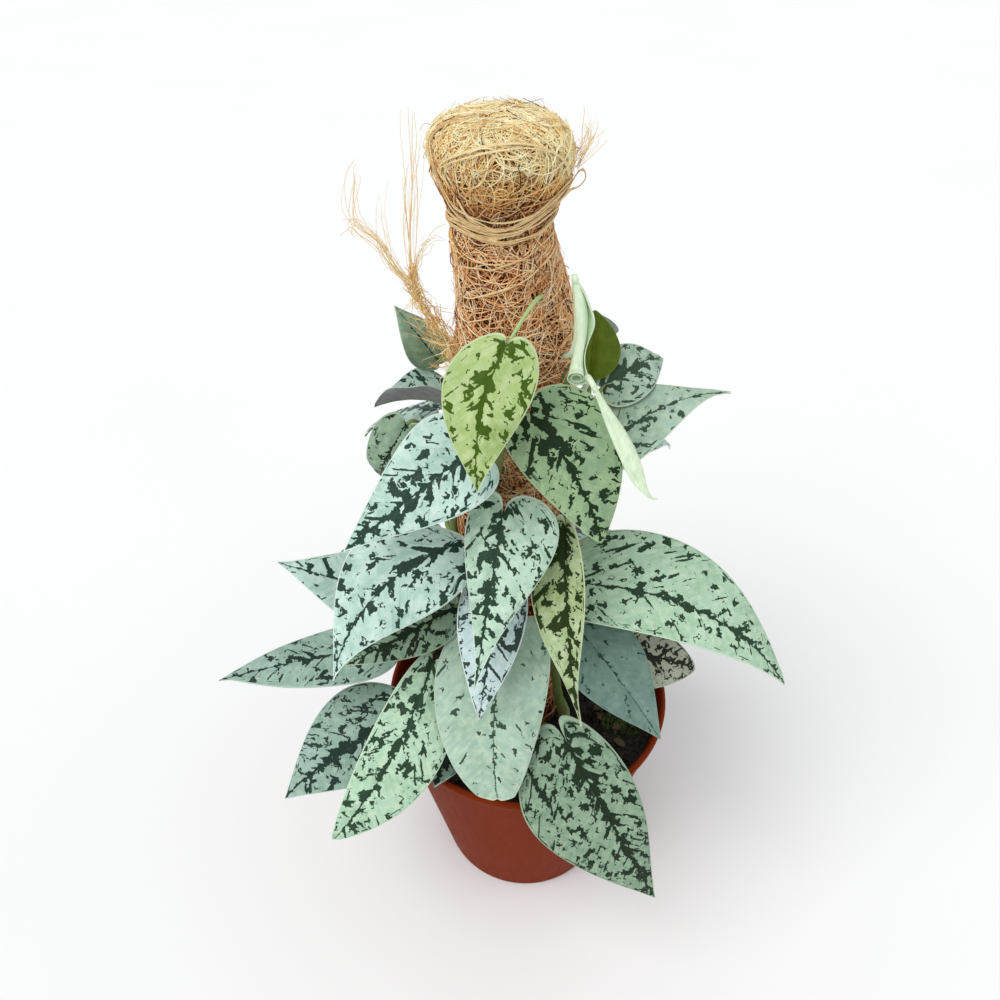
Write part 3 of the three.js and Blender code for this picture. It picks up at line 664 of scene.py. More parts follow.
def spline(stops, pieces):
    """A smooth curve through stops, with a number of pieces between each two."""
    stops = np.asarray(stops, float)
    padded = np.vstack([2 * stops[0] - stops[1], stops, 2 * stops[-1] - stops[-2]])
    t = np.linspace(0, 1, pieces, endpoint=False)[:, None]
    runs = []
    for a, b, c, d in zip(padded, padded[1:], padded[2:], padded[3:]):
        bend = (2 * a - 5 * b + 4 * c - d) * t**2 + (3 * b - a - 3 * c + d) * t**3
        runs.append(0.5 * (2 * b + (c - a) * t + bend))
    return np.vstack(runs + [stops[-1:]])


def coir_course(degrees, heights, proud):
    """Places on the mat from an angle, a height and a distance off it."""
    angles = np.radians(np.asarray(degrees, float))
    heights = np.asarray(heights, float)
    rise = ((heights - BUN_MIDDLE[2]) / BUN_RISE).clip(0, 0.98)
    reach = BUN_REACH * (1 - rise**2.6) ** (1 / 2.6)
    ring = np.stack([coir_centre(heights) + reach * np.cos(angles), reach * np.sin(angles), heights], -1)
    return onto_coir(ring, np.asarray(proud, float))


def skin_faces(rows, columns):
    """Faces of a grid of points whose rows close up on themselves, with flat ends."""
    index = np.arange(rows * columns).reshape(rows, columns)
    here, there = index[:-1], index[1:]
    quads = np.stack([here, np.roll(here, -1, 1), np.roll(there, -1, 1), there], -1).reshape(-1, 4)
    return quads.tolist() + [index[0][::-1].tolist(), index[-1].tolist()]


def moved_on(faces, count):
    """The same faces, for points that come after a number of others."""
    return [[corner + count for corner in face] for face in faces]


def ribbon(path, outward, width, thickness):
    """A flat strand of six sides along a path; returns its points and faces."""
    along = np.gradient(path, axis=0)
    along /= np.linalg.norm(along, axis=-1, keepdims=True)
    side = np.cross(along, outward)
    side /= np.linalg.norm(side, axis=-1, keepdims=True)
    lift = np.cross(side, along)
    width = np.broadcast_to(width, len(path))[:, None]
    section = [(0.5, 0), (0.32, 0.5), (-0.32, 0.5), (-0.5, 0), (-0.32, -0.5), (0.32, -0.5)]
    rings = [path + side * width * a + lift * thickness * b for a, b in section]
    points = np.stack(rings, 1)
    return points.reshape(-1, 3), skin_faces(len(path), len(section))


RAFFIA_THICKNESS = 0.4


def strands(name, runs, *nodes):
    """Raffia along courses of angle, height and distance off the mat. Each run is a course and the strands
    that lie side by side in it: how far each lies below, its width, its distance off the mat and where it
    sways."""
    points, faces, tints = [], [], []
    for course, bundle in runs:
        for drop, width, proud, phase in bundle:
            stops = np.array(course, float)
            sway = np.sin(np.radians(stops[:, 0]) * 1.7 + phase * 1.9)
            stops[:, 1] += drop * (0.4 + 0.6 * sway)
            smooth = spline(stops, 8)
            path = coir_course(smooth[:, 0], smooth[:, 1], proud + smooth[:, 2])
            wide = width * (0.8 + 0.3 * np.sin(np.arange(len(path)) * 0.23 + phase))
            strand, strand_faces = ribbon(path, coir_normal(path), wide, RAFFIA_THICKNESS)
            faces += moved_on(strand_faces, sum(map(len, points)))
            points.append(strand)
            tints.append(np.full(len(strand), (phase * 0.37) % 1))
    piece = link_mesh(name, np.concatenate(points), faces, tint=np.concatenate(tints))
    piece.data.materials.append(raffia)
    settle(piece, "raffia", *nodes)


raffia, tree, shader = new_material("raffia")
fine = grain(tree, stretched(tree, object_place(tree), (500, 500, 4200)), 1.0, 2.0, 0.6)
straw = blend_colours(tree, between(tree, fine, 0.3, 0.7), srgb(188, 146, 92), srgb(242, 210, 154))
bleached = calc(tree, "MULTIPLY", carried(tree, "tint"), 0.6)
coat(tree, shader, blend_colours(tree, bleached, straw, srgb(250, 228, 172)), 0.6)
bump(tree, shader, fine, 0.6, 0.0004)

# Each course is a row of angles, in degrees, heights and distances off the mat.
OVER_LEFT_RIM = [
    (-142, 421.5, 0.4), (-160, 420, 0.6), (-165, 415, 0.8), (-158, 409, 0.6), (-155, 402.5, 0.2),
    (-150, 397, 0), (-143, 393, 0), (-131, 390.5, 0), (-109, 388.2, 0), (-91, 388, 0), (-70, 390, 0),
    (-51, 393.8, 0), (-41, 397.5, 0.2), (-26, 400.5, 0.2), (0, 400, 0), (40, 396, 0), (90, 391, 0),
    (140, 388, 0), (180, 387.5, 0),
]
SECOND_TURN = [
    (213, 386.8, 0), (244, 384, 0), (268, 383.2, 0), (289, 384.2, 0), (313, 386, 0), (330, 388.8, 0),
    (360, 391, 0), (400, 391, 0), (450, 389, 0), (500, 388, 0), (540, 388, 0),
]
THIRD_TURN = [
    (575, 389, 0), (600, 387.5, 0), (625, 386.4, 0), (650, 387, 0), (672, 391, 0), (690, 396, 0.2),
    (704, 399, 0.2),
]
LOOP = [
    (690, 396, 0.4), (700, 399, 0.6), (706, 402, 0.8), (709, 404.6, 1.8), (710, 405, 3.4),
    (709.5, 402.2, 4.8), (709, 399.4, 3.6), (706, 398.4, 1.2), (694, 397, 0.3),
]
TIE_BUNDLE = [
    (0.0, 1.6, 1.9, 0.0), (2.0, 1.2, 2.3, 0.9), (-2.1, 1.1, 1.8, 1.7), (3.3, 0.8, 2.0, 2.6),
    (1.0, 0.7, 2.6, 3.5),
]
strands("raffia_tie", [
    (OVER_LEFT_RIM + SECOND_TURN + THIRD_TURN, TIE_BUNDLE),
    (LOOP, [(0, 1.2, 2.2, 0.7)]),
], "neck_tie")

OVER_BUN = [
    (-146, 408, 0), (-141, 411, 0.2), (-120, 415.5, 0.4), (-97, 418, 0.6), (-71, 418, 0.6), (-50, 415, 0.4),
    (-35, 410, 0.2), (-28, 405, 0),
]
strands("raffia_over_bun", [(OVER_BUN, [(0, 1.4, 2.3, 2.5), (-1.6, 0.8, 2.5, 2.65)])], "bun_strand")

PALE_STRAND = [
    (-143.5, 406, 0), (-136, 401.5, 0), (-130, 397, 0), (-125, 392, 0), (-113, 389.2, 0), (-100, 387, 0),
]
UPPER_STRIP = [
    (-160, 371, -1.5), (-135, 373, 0), (-121, 373.8, 0), (-105, 374.2, 0), (-91, 375.8, 0), (-62, 378.5, 0),
    (-41, 381.5, 0), (-12, 383, 0), (20, 384, 0),
]
LOWER_STRIP = [
    (-160, 360, -1.5), (-135, 362, 0), (-120, 364.2, 0), (-103, 366.8, 0), (-86, 368.8, 0), (-68, 371, 0),
    (-47, 374, 0), (-17, 376.5, 0), (15, 378, 0),
]
strands("raffia_strips", [
    (PALE_STRAND, [(0, 1.2, 2.3, 3.1), (1.3, 0.8, 2.4, 2.5)]),
    (UPPER_STRIP, [(0, 0.9, 1.7, 0.6)]),
    (LOWER_STRIP, [(0, 1.0, 1.7, 2.1)]),
])


# Loose coir. Frayed ends of the mat that stand off it: a long bundle at the left, golden where it leaves the
# mat and pale at its thin ends, and a small tuft at the right of the bun.

LEFT_TUFT = [
    (-29, -10, 320), (-31, -9, 328), (-33.5, -8, 335), (-40.5, -8, 347), (-45, -7, 355.5), (-47.5, -7, 363),
    (-48, -6, 370),
]
LEFT_FRAY = [
    [(-45, -7, 356), (-47.5, -6, 363), (-47.5, -4, 379), (-46.5, -2, 395), (-45, -1, 405), (-42.5, 0, 415),
     (-43, 1, 427)],
    [(-45, -7, 356), (-48, -5, 366), (-48.5, -3, 382), (-47, -1, 398), (-46, 1, 411), (-46.5, 2, 428)],
    [(-46, -7, 359), (-52, -8, 368.5), (-58.5, -8, 380), (-67.5, -7, 388.5), (-66, -6, 402),
     (-62.5, -5, 408)],
    [(-46, -7, 359), (-52, -8, 368.5), (-58.5, -8, 380), (-66, -7, 387), (-70.5, -6, 383.5),
     (-66, -6, 379.5)],
    [(-43, -7, 352), (-50, -7, 364), (-55, -7, 375), (-56, -5, 390), (-52, -3, 402)],
    [(-47, -6, 364), (-45, -5, 373), (-39, -3, 380), (-33, -3, 379.5)],
]
RIGHT_FRAY = [
    [(12, -1, 405), (15.5, -1, 413), (17, 0, 424)],
    [(12, -2, 405), (16.5, -3, 412), (20.5, -4, 419)],
    [(11, 1, 407), (15, 2, 414), (14, 4, 424)],
]
FRAY_FACES = (0.2, -0.9, 0.38)


def wisps(name, guides, copies, spread, thickness, frizz, finish, *nodes):
    """Fine curly strands round each guide, together where they leave the mat and apart at their ends."""
    paths, radii, tints = [], [], []
    steps = 34
    share = np.linspace(0, 1, steps)[:, None]
    for guide in guides:
        for _ in range(copies):
            stops = np.array(guide, float)
            apart = np.linspace(0.15, 1, len(stops))[:, None]
            stops = stops + coir_dice.normal(0, spread, (1, 3)) * apart
            stops = stops + coir_dice.normal(0, spread * 0.5, stops.shape) * apart
            curve = spline(stops, 12)
            keep = np.linspace(0, coir_dice.uniform(0.6, 1.0) * (len(curve) - 1), steps)
            stations = np.arange(len(curve))
            path = np.stack([np.interp(keep, stations, curve[:, axis]) for axis in range(3)], -1)
            for waves in (coir_dice.uniform(5, 12), coir_dice.uniform(14, 30)):
                sway = coir_dice.normal(0, frizz * 6 / waves, (1, 3)) * (0.3 + 0.7 * share)
                path = path + sway * np.sin(share * waves + coir_dice.uniform(0, 6))
            paths.append(path)
            radii.append(thickness * coir_dice.uniform(0.5, 1.5))
            tints.append(coir_dice.uniform(0.55, 1.0))
    paths = np.stack(paths, 1)
    facing = np.zeros_like(paths) + FRAY_FACES
    piece = fibre_piece(name, paths, np.array(radii), np.array(tints), facing)
    piece.data.materials.append(finish)
    settle(piece, "coir", *nodes)


def tangle(name, course, widths, count, thickness, finish):
    """Short curly strands that stay round one course, spread as wide as widths says at each of its stops."""
    core = spline(course, 12)
    places = np.linspace(0, 1, len(core))
    room = np.interp(places, np.linspace(0, 1, len(widths)), widths)
    steps = 16
    share = np.linspace(-0.5, 0.5, steps)[:, None]
    middle = coir_dice.random(count) ** 1.2
    reach = coir_dice.uniform(0.08, 0.26, count) * coir_dice.choice([-1, 1], count)
    where = (middle + reach * share).clip(0, 1)
    paths = np.stack([np.interp(where, places, core[:, axis]) for axis in range(3)], -1)
    wide = np.interp(where, places, room)
    for axis in range(3):
        lean = coir_dice.normal(0, 0.6, count)
        curl = coir_dice.normal(0, 0.1, count)
        waves = coir_dice.uniform(5, 12, count)
        bend = np.sin(share * waves + coir_dice.uniform(0, 6, count))
        paths[:, :, axis] += wide * (coir_dice.normal(0, 0.3, count) + lean * share * 2 + curl * bend)
    radii = thickness * coir_dice.uniform(0.5, 1.5, count)
    facing = np.zeros_like(paths) + FRAY_FACES
    piece = fibre_piece(name, paths, radii, coir_dice.uniform(0.45, 1.0, count), facing)
    piece.data.materials.append(finish)
    settle(piece, "coir")


tangle("coir_tuft_left", LEFT_TUFT, (5.5, 7.0, 7.0, 5.5, 4.5, 3.5, 2.5), 260, 0.16, straw_fibre)
wisps("coir_wisps_left", LEFT_FRAY, 8, 2.0, 0.1, 1.2, straw_fibre, "loose_coir_left")
wisps("coir_wisps_right", RIGHT_FRAY, 7, 2.0, 0.12, 0.9, straw_fibre, "loose_coir_right")


# Stems. Four climbing stems, each rooted in the soil and pressed to the mat, olive green, slightly swollen
# at each node and thin at its growing tip. Short roots hold them to the coir.

VINE_RING = 27.8
VINE_RADIUS = 2.2
NODE_SPACING = 23
# Each stop is an angle round the pole, in degrees, a height and a distance from the pole's axis.
VINES = {
    "front": [
        (-112, 92, 34), (-112, 116, 34), (-114, 150, 30), (-118, 190, VINE_RING), (-120, 240, VINE_RING),
        (-115, 268, VINE_RING), (-104, 296, VINE_RING), (-100, 322, VINE_RING),
    ],
    "right": [
        (-38, 92, 36), (-38, 116, 36), (-42, 150, 31), (-44, 190, VINE_RING), (-36, 240, VINE_RING),
        (-32, 290, VINE_RING), (-36, 318, 25.5), (-42, 338, 22.5),
    ],
    "back": [
        (62, 92, 35), (62, 116, 35), (66, 150, 30), (74, 200, VINE_RING), (80, 260, VINE_RING),
        (72, 310, VINE_RING), (66, 345, VINE_RING),
    ],
    "left": [
        (165, 92, 35), (165, 116, 35), (168, 150, 30), (176, 200, VINE_RING), (170, 250, VINE_RING),
        (160, 300, VINE_RING), (152, 330, VINE_RING),
    ],
}


def round_pole(degrees, height, reach):
    """A place from its angle round the pole, its height and its distance from the pole's axis."""
    angle = math.radians(degrees)
    return (POLE_AXIS + reach * math.cos(angle), reach * math.sin(angle), height)


vine_paths = {name: spline([round_pole(*stop) for stop in stops], 16) for name, stops in VINES.items()}


def vine_at(name, height):
    """The point of a stem's axis that is nearest to a height."""
    path = vine_paths[name]
    return path[np.argmin(abs(path[:, 2] - height))]


def tube(path, radii, sides=10):
    """A round tube along a path; returns its points and faces."""
    along = np.gradient(path, axis=0)
    along /= np.linalg.norm(along, axis=-1, keepdims=True) + 1e-9
    aside = np.cross(along, [0.31, 0.87, 0.38])
    aside /= np.linalg.norm(aside, axis=-1, keepdims=True) + 1e-9
    across = np.cross(along, aside)
    turns = np.linspace(0, 2 * math.pi, sides, endpoint=False)
    ring = np.cos(turns)[None, :, None] * aside[:, None] + np.sin(turns)[None, :, None] * across[:, None]
    points = path[:, None] + np.broadcast_to(radii, len(path))[:, None, None] * ring
    return points.reshape(-1, 3), skin_faces(len(path), sides)


vine_skin, tree, shader = new_material("vine_skin")
place = object_place(tree)
length_lines = grain(tree, stretched(tree, place, (900, 900, 60)), 1.0, 3.0, 0.6)
green = blend_colours(tree, length_lines, srgb(72, 88, 38), srgb(116, 132, 66))
corky = between(tree, grain(tree, place, 110.0, 3.0), 0.52, 0.66)
coat(tree, shader, blend_colours(tree, calc(tree, "MULTIPLY", corky, 0.6), green, srgb(120, 96, 58)), 0.55)
bump(tree, shader, length_lines, 0.4, 0.0006)

for name, path in vine_paths.items():
    swelling = 0.35 * np.maximum(0, np.sin(path[:, 2] * 2 * math.pi / NODE_SPACING)) ** 8
    growing_tip = 0.25 + 0.75 * ((path[-1, 2] - path[:, 2]) / 9).clip(0, 1) ** 0.5
    points, faces = tube(path, (VINE_RADIUS + swelling) * growing_tip, 14)
    for height in range(150, int(path[-1, 2]), 14):
        start = vine_at(name, height)
        inward = np.array([POLE_AXIS, 0, height]) - start
        inward /= np.linalg.norm(inward)
        swing = np.cross(inward, [0, 0, 1]) * coir_dice.choice([-1, 1]) * coir_dice.uniform(2, 6)
        root = spline(onto_coir([start, start + swing * 0.6, start + swing], np.array([2.0, 1.1, 0.4])), 4)
        root_points, root_faces = tube(root, np.linspace(0.75, 0.3, len(root)), 6)
        faces += moved_on(root_faces, len(points))
        points = np.vstack([points, root_points])
    vine = link_mesh("vine_" + name, points, faces)
    vine.data.materials.append(vine_skin)
    settle(vine, "stem", "stem_" + name)


# Leaves. Heart-shaped blades with a drawn-out tip, leathery and satin to the touch. A sunken midrib and
# curved side veins quilt the upper side, which is silvery with dark green left along the midrib and in
# blotches between the veins. Each blade hangs on its own stalk, which leaves its stem at a node.

# Each leaf has the base and tip of its blade, its width and the stem and height that its stalk comes from.
# face is the way that the blade looks, arch its droop, cup and fold how its halves rise, sweep its bend
# sideways, lobe its ears, belly where it is widest, point how drawn out it is, lean how much wider one half
# is, and end where its tip is cut blunt. girth is the stalk's thickness, via a course of its own, and stalk
# and under are colours. look is one of LEAF_LOOKS, band, heart and spread say how broad the dark band along
# the midrib is, where it is broadest and how far it runs, and blotch how dense the other marks are.
PLAIN_LEAF = {
    "face": (0, -0.78, 0.62), "arch": 0.08, "cup": 0.1, "fold": 0, "sweep": 0, "lobe": 0.12, "belly": 0.36,
    "point": 1.12, "lean": 0, "end": 1, "girth": 1.0, "stalk": (128, 152, 90),
    "under": (150, 170, 148), "look": "silver", "band": 1.0, "heart": 0.38, "spread": 0.34, "blotch": 1.0,
}
LEAVES = {
    "01": dict(base=(-13, -50, 361), tip=(-23, -70, 313), width=31, stem=("right", 343), sweep=0.07,
               via=[(6, -10, 348), (3.5, -11, 356), (0.5, -16, 362.5), (-5, -35, 366.5)], girth=0.75,
               look="young", stalk=(176, 204, 138), band=0.75, heart=0.42, spread=0.22, blotch=0.82),
    "02": dict(base=(-4, -42, 329), tip=(24, -63, 283), width=39, stem=("right", 312), sweep=-0.05, lobe=0.15,
               point=0.8, lean=-0.18, look="green", band=0.8, heart=0.28, spread=0.36),
    "03": dict(base=(-26, -45, 313), tip=(-76, -60, 276), width=38, stem=("front", 312), belly=0.24,
               point=1.1, lean=0.07, band=2.1, heart=0.42, spread=0.17, blotch=0.85),
    "04": dict(base=(-31, -40, 263), tip=(-85, -74, 216), width=43, stem=("front", 258), sweep=0.14,
               lobe=0.07, point=1.3, band=0.95, heart=0.28, spread=0.26, blotch=0.85),
    "05": dict(base=(-53, -18, 208), tip=(-113, -30, 243), width=38, stem=("left", 220), band=0.45,
               blotch=0.65),
    "06": dict(base=(-54, -12, 303), tip=(-68, -3, 270), width=22, stem=("left", 284), arch=0.16, point=0.7,
               look="deep_shade", band=0.5, blotch=0.7),
    "07": dict(base=(-39, 10, 300), tip=(-70, 12, 297), width=30, stem=("left", 302), face=(0, 0.3, 0.95),
               cup=0, fold=0.65, point=0.7, under=(150, 150, 158), look="shade", band=0.4),
    "08": dict(base=(-42, 26, 311), tip=(-60, 30, 336), width=19, stem=("left", 320), look="deep_shade", band=0.2,
               blotch=0.3),
    "09": dict(base=(23, 10, 312), tip=(25, 22, 338), width=24, stem=("right", 316), point=0.8, lobe=0.05,
               belly=0.42, look="olive", band=0.1, blotch=0.0),
    "10": dict(base=(29, 9, 309), tip=(57, 30, 311), width=28, stem=("right", 303), arch=0.16,
               face=(-0.1, -0.6, 0.8), point=0.9, look="plain", band=0.6),
    "11": dict(base=(29, -11, 290), tip=(85, 12, 304), width=34, stem=("right", 284), face=(0.15, -0.3, 0.95),
               arch=0.1, sweep=-0.06, lobe=0.15, belly=0.3, point=1.35, lean=-0.15, look="plain", band=0.45,
               blotch=0.7),
    "12": dict(base=(-14, -45, 282), tip=(-26, -83, 217), width=37, stem=("front", 272), lobe=0.18,
               belly=0.25, point=1.8, lean=-0.26, look="jade", band=0.65, heart=0.3, spread=0.26,
               blotch=0.95),
    "13": dict(base=(-15, -42, 248), tip=(-24, -77, 194), width=29, stem=("front", 244), point=1, lean=0.05,
               look="lilac", band=0.25, blotch=0.97),
    "14": dict(base=(-12, -39, 210), tip=(-15, -86, 137), width=51, stem=("front", 200), sweep=0.05,
               point=0.6, lean=0.1, end=0.92, look="plain", band=0.6, heart=0.5, spread=0.2, blotch=0.55),
    "15": dict(base=(12, -37, 270), tip=(20, -80, 193), width=23, stem=("right", 262), face=(-0.4, -0.7, 0.6),
               fold=0.25, lobe=0.1, belly=0.34, point=1.6, lean=0.25, look="yellow", band=0.6),
    "16": dict(base=(23, -31, 231), tip=(116, -51, 186), width=50, stem=("right", 222),
               face=(0.1, -0.45, 0.89), arch=0.15, sweep=-0.06, lobe=0.17, belly=0.31, point=0.85, lean=-0.25,
               look="mint", band=0.55, blotch=0.85),
    "17": dict(base=(22, -32, 202), tip=(60, -62, 160), width=36, stem=("right", 192), sweep=-0.02, lobe=0.1,
               belly=0.34, look="teal", band=0.2, blotch=0.5),
    "18": dict(base=(41, -3, 164), tip=(85, -15, 156), width=35, stem=("right", 168), face=(0.3, -0.7, 0.65),
               sweep=0.02, belly=0.38, point=0.65, lean=0.1, look="pink", band=0.8, blotch=1.1),
    "19": dict(base=(16, -66, 163), tip=(61, -98, 83), width=53, stem=("right", 142), lobe=0.18, belly=0.41,
               point=1.25, lean=0.3, look="deep_shade", band=0.8, blotch=1.02),
    "20": dict(base=(-60, -36, 146), tip=(-123, -62, 112), width=50, stem=("left", 160), sweep=0.06,
               look="shade", band=0.9),
    "21": dict(base=(-46, -43, 193), tip=(-93, -91, 123), width=35, stem=("front", 178), sweep=-0.05,
               lobe=0.06, belly=0.44, point=0.7, lean=-0.22, look="mint", band=0.45, blotch=0.95),
    "22": dict(base=(-70, -20, 179), tip=(-149, -40, 176), width=38, stem=("left", 176),
               face=(-0.1, -0.05, 1), arch=0.02, look="shade", band=0.5, blotch=0.85),
    "23": dict(base=(-36, -34, 219), tip=(-85, -50, 198), width=25, stem=("front", 214), look="deep_shade",
               band=0.4),
    "24": dict(base=(-41, -46, 130), tip=(-47, -66, 128), width=20, stem=("front", 130), face=(0, -0.5, 0.85),
               look="shade"),
    "25": dict(base=(16, 40, 330), tip=(34, 74, 288), width=36, stem=("back", 326), face=(0.3, 0.7, 0.62)),
    "26": dict(base=(-20, 44, 308), tip=(-34, 86, 270), width=38, stem=("back", 300), face=(-0.2, 0.75, 0.62),
               look="mint"),
    "27": dict(base=(-44, 28, 286), tip=(-84, 58, 250), width=38, stem=("left", 276),
               face=(-0.55, 0.5, 0.65)),
    "28": dict(base=(28, 24, 276), tip=(72, 54, 246), width=40, stem=("back", 270), face=(0.6, 0.45, 0.65),
               band=1.2),
    "29": dict(base=(-2, 46, 270), tip=(6, 92, 222), width=42, stem=("back", 262), face=(0, 0.75, 0.65)),
    "30": dict(base=(-34, 40, 238), tip=(-66, 88, 196), width=44, stem=("left", 232), face=(-0.45, 0.6, 0.65),
               look="mint", blotch=0.8),
    "31": dict(base=(22, 38, 202), tip=(60, 84, 154), width=46, stem=("back", 196), face=(0.5, 0.6, 0.65)),
    "32": dict(base=(34, 14, 192), tip=(98, 36, 160), width=44, stem=("back", 186), face=(0.6, 0.25, 0.75),
               look="green"),
    "33": dict(base=(-8, 50, 196), tip=(-6, 104, 138), width=50, stem=("back", 184), face=(0, 0.75, 0.65),
               look="mint", band=1.2),
    "34": dict(base=(-52, 16, 216), tip=(-104, 42, 182), width=42, stem=("left", 206),
               face=(-0.6, 0.3, 0.75)),
    "35": dict(base=(-44, 46, 160), tip=(-90, 92, 112), width=46, stem=("left", 150), face=(-0.5, 0.55, 0.65),
               look="mint"),
    "36": dict(base=(34, 42, 150), tip=(80, 88, 104), width=46, stem=("back", 140), face=(0.5, 0.6, 0.65)),
}


def unit(vector):
    """A vector of length one along the given one."""
    return np.asarray(vector, float) / np.linalg.norm(vector)


def leaf_axes(leaf):
    """along from stalk to tip, up out of the upper side, side to the leaf's right, and the length."""
    run = np.subtract(leaf["tip"], leaf["base"]).astype(float)
    length = np.linalg.norm(run)
    along = run / length
    face = np.array(leaf["face"], float)
    up = unit(face - along * face.dot(along))
    return along, up, np.cross(along, up), length


def leaf_surface(leaf, u, v):
    """Points on the blade's middle, their places along and across it, and its half width there."""
    along, up, side, length = leaf_axes(leaf)
    widest = math.log(0.5) / math.log(leaf["belly"])
    half = leaf["width"] / 2 * np.maximum(np.sin(math.pi * u**widest), 0.001) ** leaf["point"] + 0.3
    half = half * (1 + leaf["lean"] * np.sign(v))
    ear = leaf["lobe"] * np.sin(math.pi * u**0.35) * abs(v) ** 1.6
    blunt = (1 - leaf["end"]) * u**8 * (0.4 * abs(v) ** 4 + 0.22 * np.exp(-((v / 0.1) ** 2)))
    r = u - ear - blunt
    lift = leaf["arch"] * 4 * r * (1 - r) * length
    lift = lift + leaf["fold"] * abs(v) * half - leaf["cup"] * v * v * half
    aside = v * half + leaf["sweep"] * length * 4 * r * (1 - r)
    points = (
        np.array(leaf["base"], float)
        + along * (r * length)[..., None]
        + side * aside[..., None]
        + up * lift[..., None]
    )
    return points, r * length, v * half, half


def bent(bends, steps):
    """A curve that sets out from the first point to the second, and comes to the last from the third."""
    a, b, c, d = bends
    t = np.linspace(0, 1, steps)[:, None]
    return a * (1 - t) ** 3 + b * 3 * t * (1 - t) ** 2 + c * 3 * t**2 * (1 - t) + d * t**3


def leaf_stalk(leaf):
    """The stalk's path, out of its stem and into the underside of the blade."""
    along, up, _, _ = leaf_axes(leaf)
    stem, height = leaf["stem"]
    axis = vine_at(stem, height)
    outward = unit([axis[0] - POLE_AXIS, axis[1], 0])
    to_base = np.subtract(leaf["base"], axis)
    to_base[2] = 0
    leaving = unit(outward * 1.2 + unit(to_base))
    start = axis + leaving * 1.2
    end = leaf_surface(leaf, np.array([0.07]), np.array([0.0]))[0][0] - up * 0.9
    if "via" in leaf:
        return spline([start, *leaf["via"], end], 7)
    reach = np.linalg.norm(start - end) * 0.4
    arriving = unit(along + up * 0.6)
    return bent([start, start + leaving * reach, end - arriving * reach, end], 22)


def sheet_faces(index):
    """Faces between the rows and columns of an open sheet of points."""
    return np.stack([index[:-1, :-1], index[1:, :-1], index[1:, 1:], index[:-1, 1:]], -1).reshape(-1, 4)


# The side veins leave the midrib on a slant and bend towards the tip as they go out, in the relief and the
# mottling alike. The bend is for each millimetre out.
VEIN_SLANT = 0.85
VEIN_BEND = 0.012


def leaf_mesh(name, leaf, rows, columns, seed):
    """One leaf as a closed skin: a blade with relief on both sides, and its stalk."""
    _, up, _, length = leaf_axes(leaf)
    t = np.linspace(0, 1, rows)
    u = (0.5 - 0.5 * np.cos(math.pi * t)) * 0.55 + t * 0.45
    u = (0.002 + 0.998 * u) * leaf["end"]
    v = np.linspace(-1, 1, columns)
    v = np.sign(v) * abs(v) ** 0.9
    u, v = np.meshgrid(u, v, indexing="ij")
    middle, run, across, half = leaf_surface(leaf, u, v)
    vein = run - VEIN_SLANT * abs(across) - VEIN_BEND * across**2
    swell = abs(v) * (1 - abs(v) ** 3) * 0.6 + 0.1
    quilt = 0.32 * np.sin(2 * math.pi * vein / 7.5 + seed) * swell
    groove = -0.55 * np.exp(-((across / 1.0) ** 2)) * (1 - 0.7 * u)
    shoulder = 0.35 * np.exp(-(((abs(across) - 2.6) / 1.6) ** 2))
    wave = abs(v) ** 3 * np.sin(2 * math.pi * 1.6 * u + seed * 1.7 + 1.3 * np.sign(v))
    relief = quilt + groove + shoulder + wave
    rib = 0.5 * np.exp(-((across / 1.2) ** 2)) * (1 - 0.6 * u)
    thin = 0.2 + 0.06 * (1 - abs(v))
    top = middle + up * (relief + thin)[..., None]
    under = middle + up * (relief - thin - rib)[..., None]
    points = np.concatenate([top.reshape(-1, 3), under.reshape(-1, 3)])
    index = np.arange(rows * columns).reshape(rows, columns)
    lower = rows * columns
    upper_faces = sheet_faces(index)[:, [0, 3, 2, 1]]
    under_faces = sheet_faces(index) + lower
    border = np.concatenate([index[:-1, 0], index[-1, :-1], index[:0:-1, -1], index[0, :0:-1]])
    after = np.roll(border, -1)
    rim = np.stack([border, after, after + lower, border + lower], -1)
    faces = upper_faces.tolist() + under_faces.tolist() + rim.tolist()
    margin = (1 - abs(v)) * half
    margin = np.minimum(margin, (1 - u / leaf["end"]) * length * 0.6)
    sheet = np.stack([run / 10, across / 10, margin / 10], -1).reshape(-1, 3)
    share = np.stack([u, v, np.zeros_like(u)], -1).reshape(-1, 3)
    beneath = share + (0, 0, 1)
    path = leaf_stalk(leaf)
    share_along = np.linspace(0, 1, len(path))
    thickness = leaf["girth"] * (1.3 - 0.3 * share_along) * (1 - 0.45 * share_along**10)
    stalk_points, stalk_faces = tube(path, thickness, 10)
    faces += moved_on(stalk_faces, len(points))
    stalk_flags = np.concatenate([np.zeros(len(points)), np.ones(len(stalk_points))])
    blank = np.zeros((len(stalk_points), 3))
    points = np.vstack([points, stalk_points])
    return link_mesh(
        name, points, faces,
        leaf_cm=np.vstack([sheet, sheet, blank]),
        leaf_share=np.vstack([share, beneath, blank]),
        stalk=stalk_flags,
    )


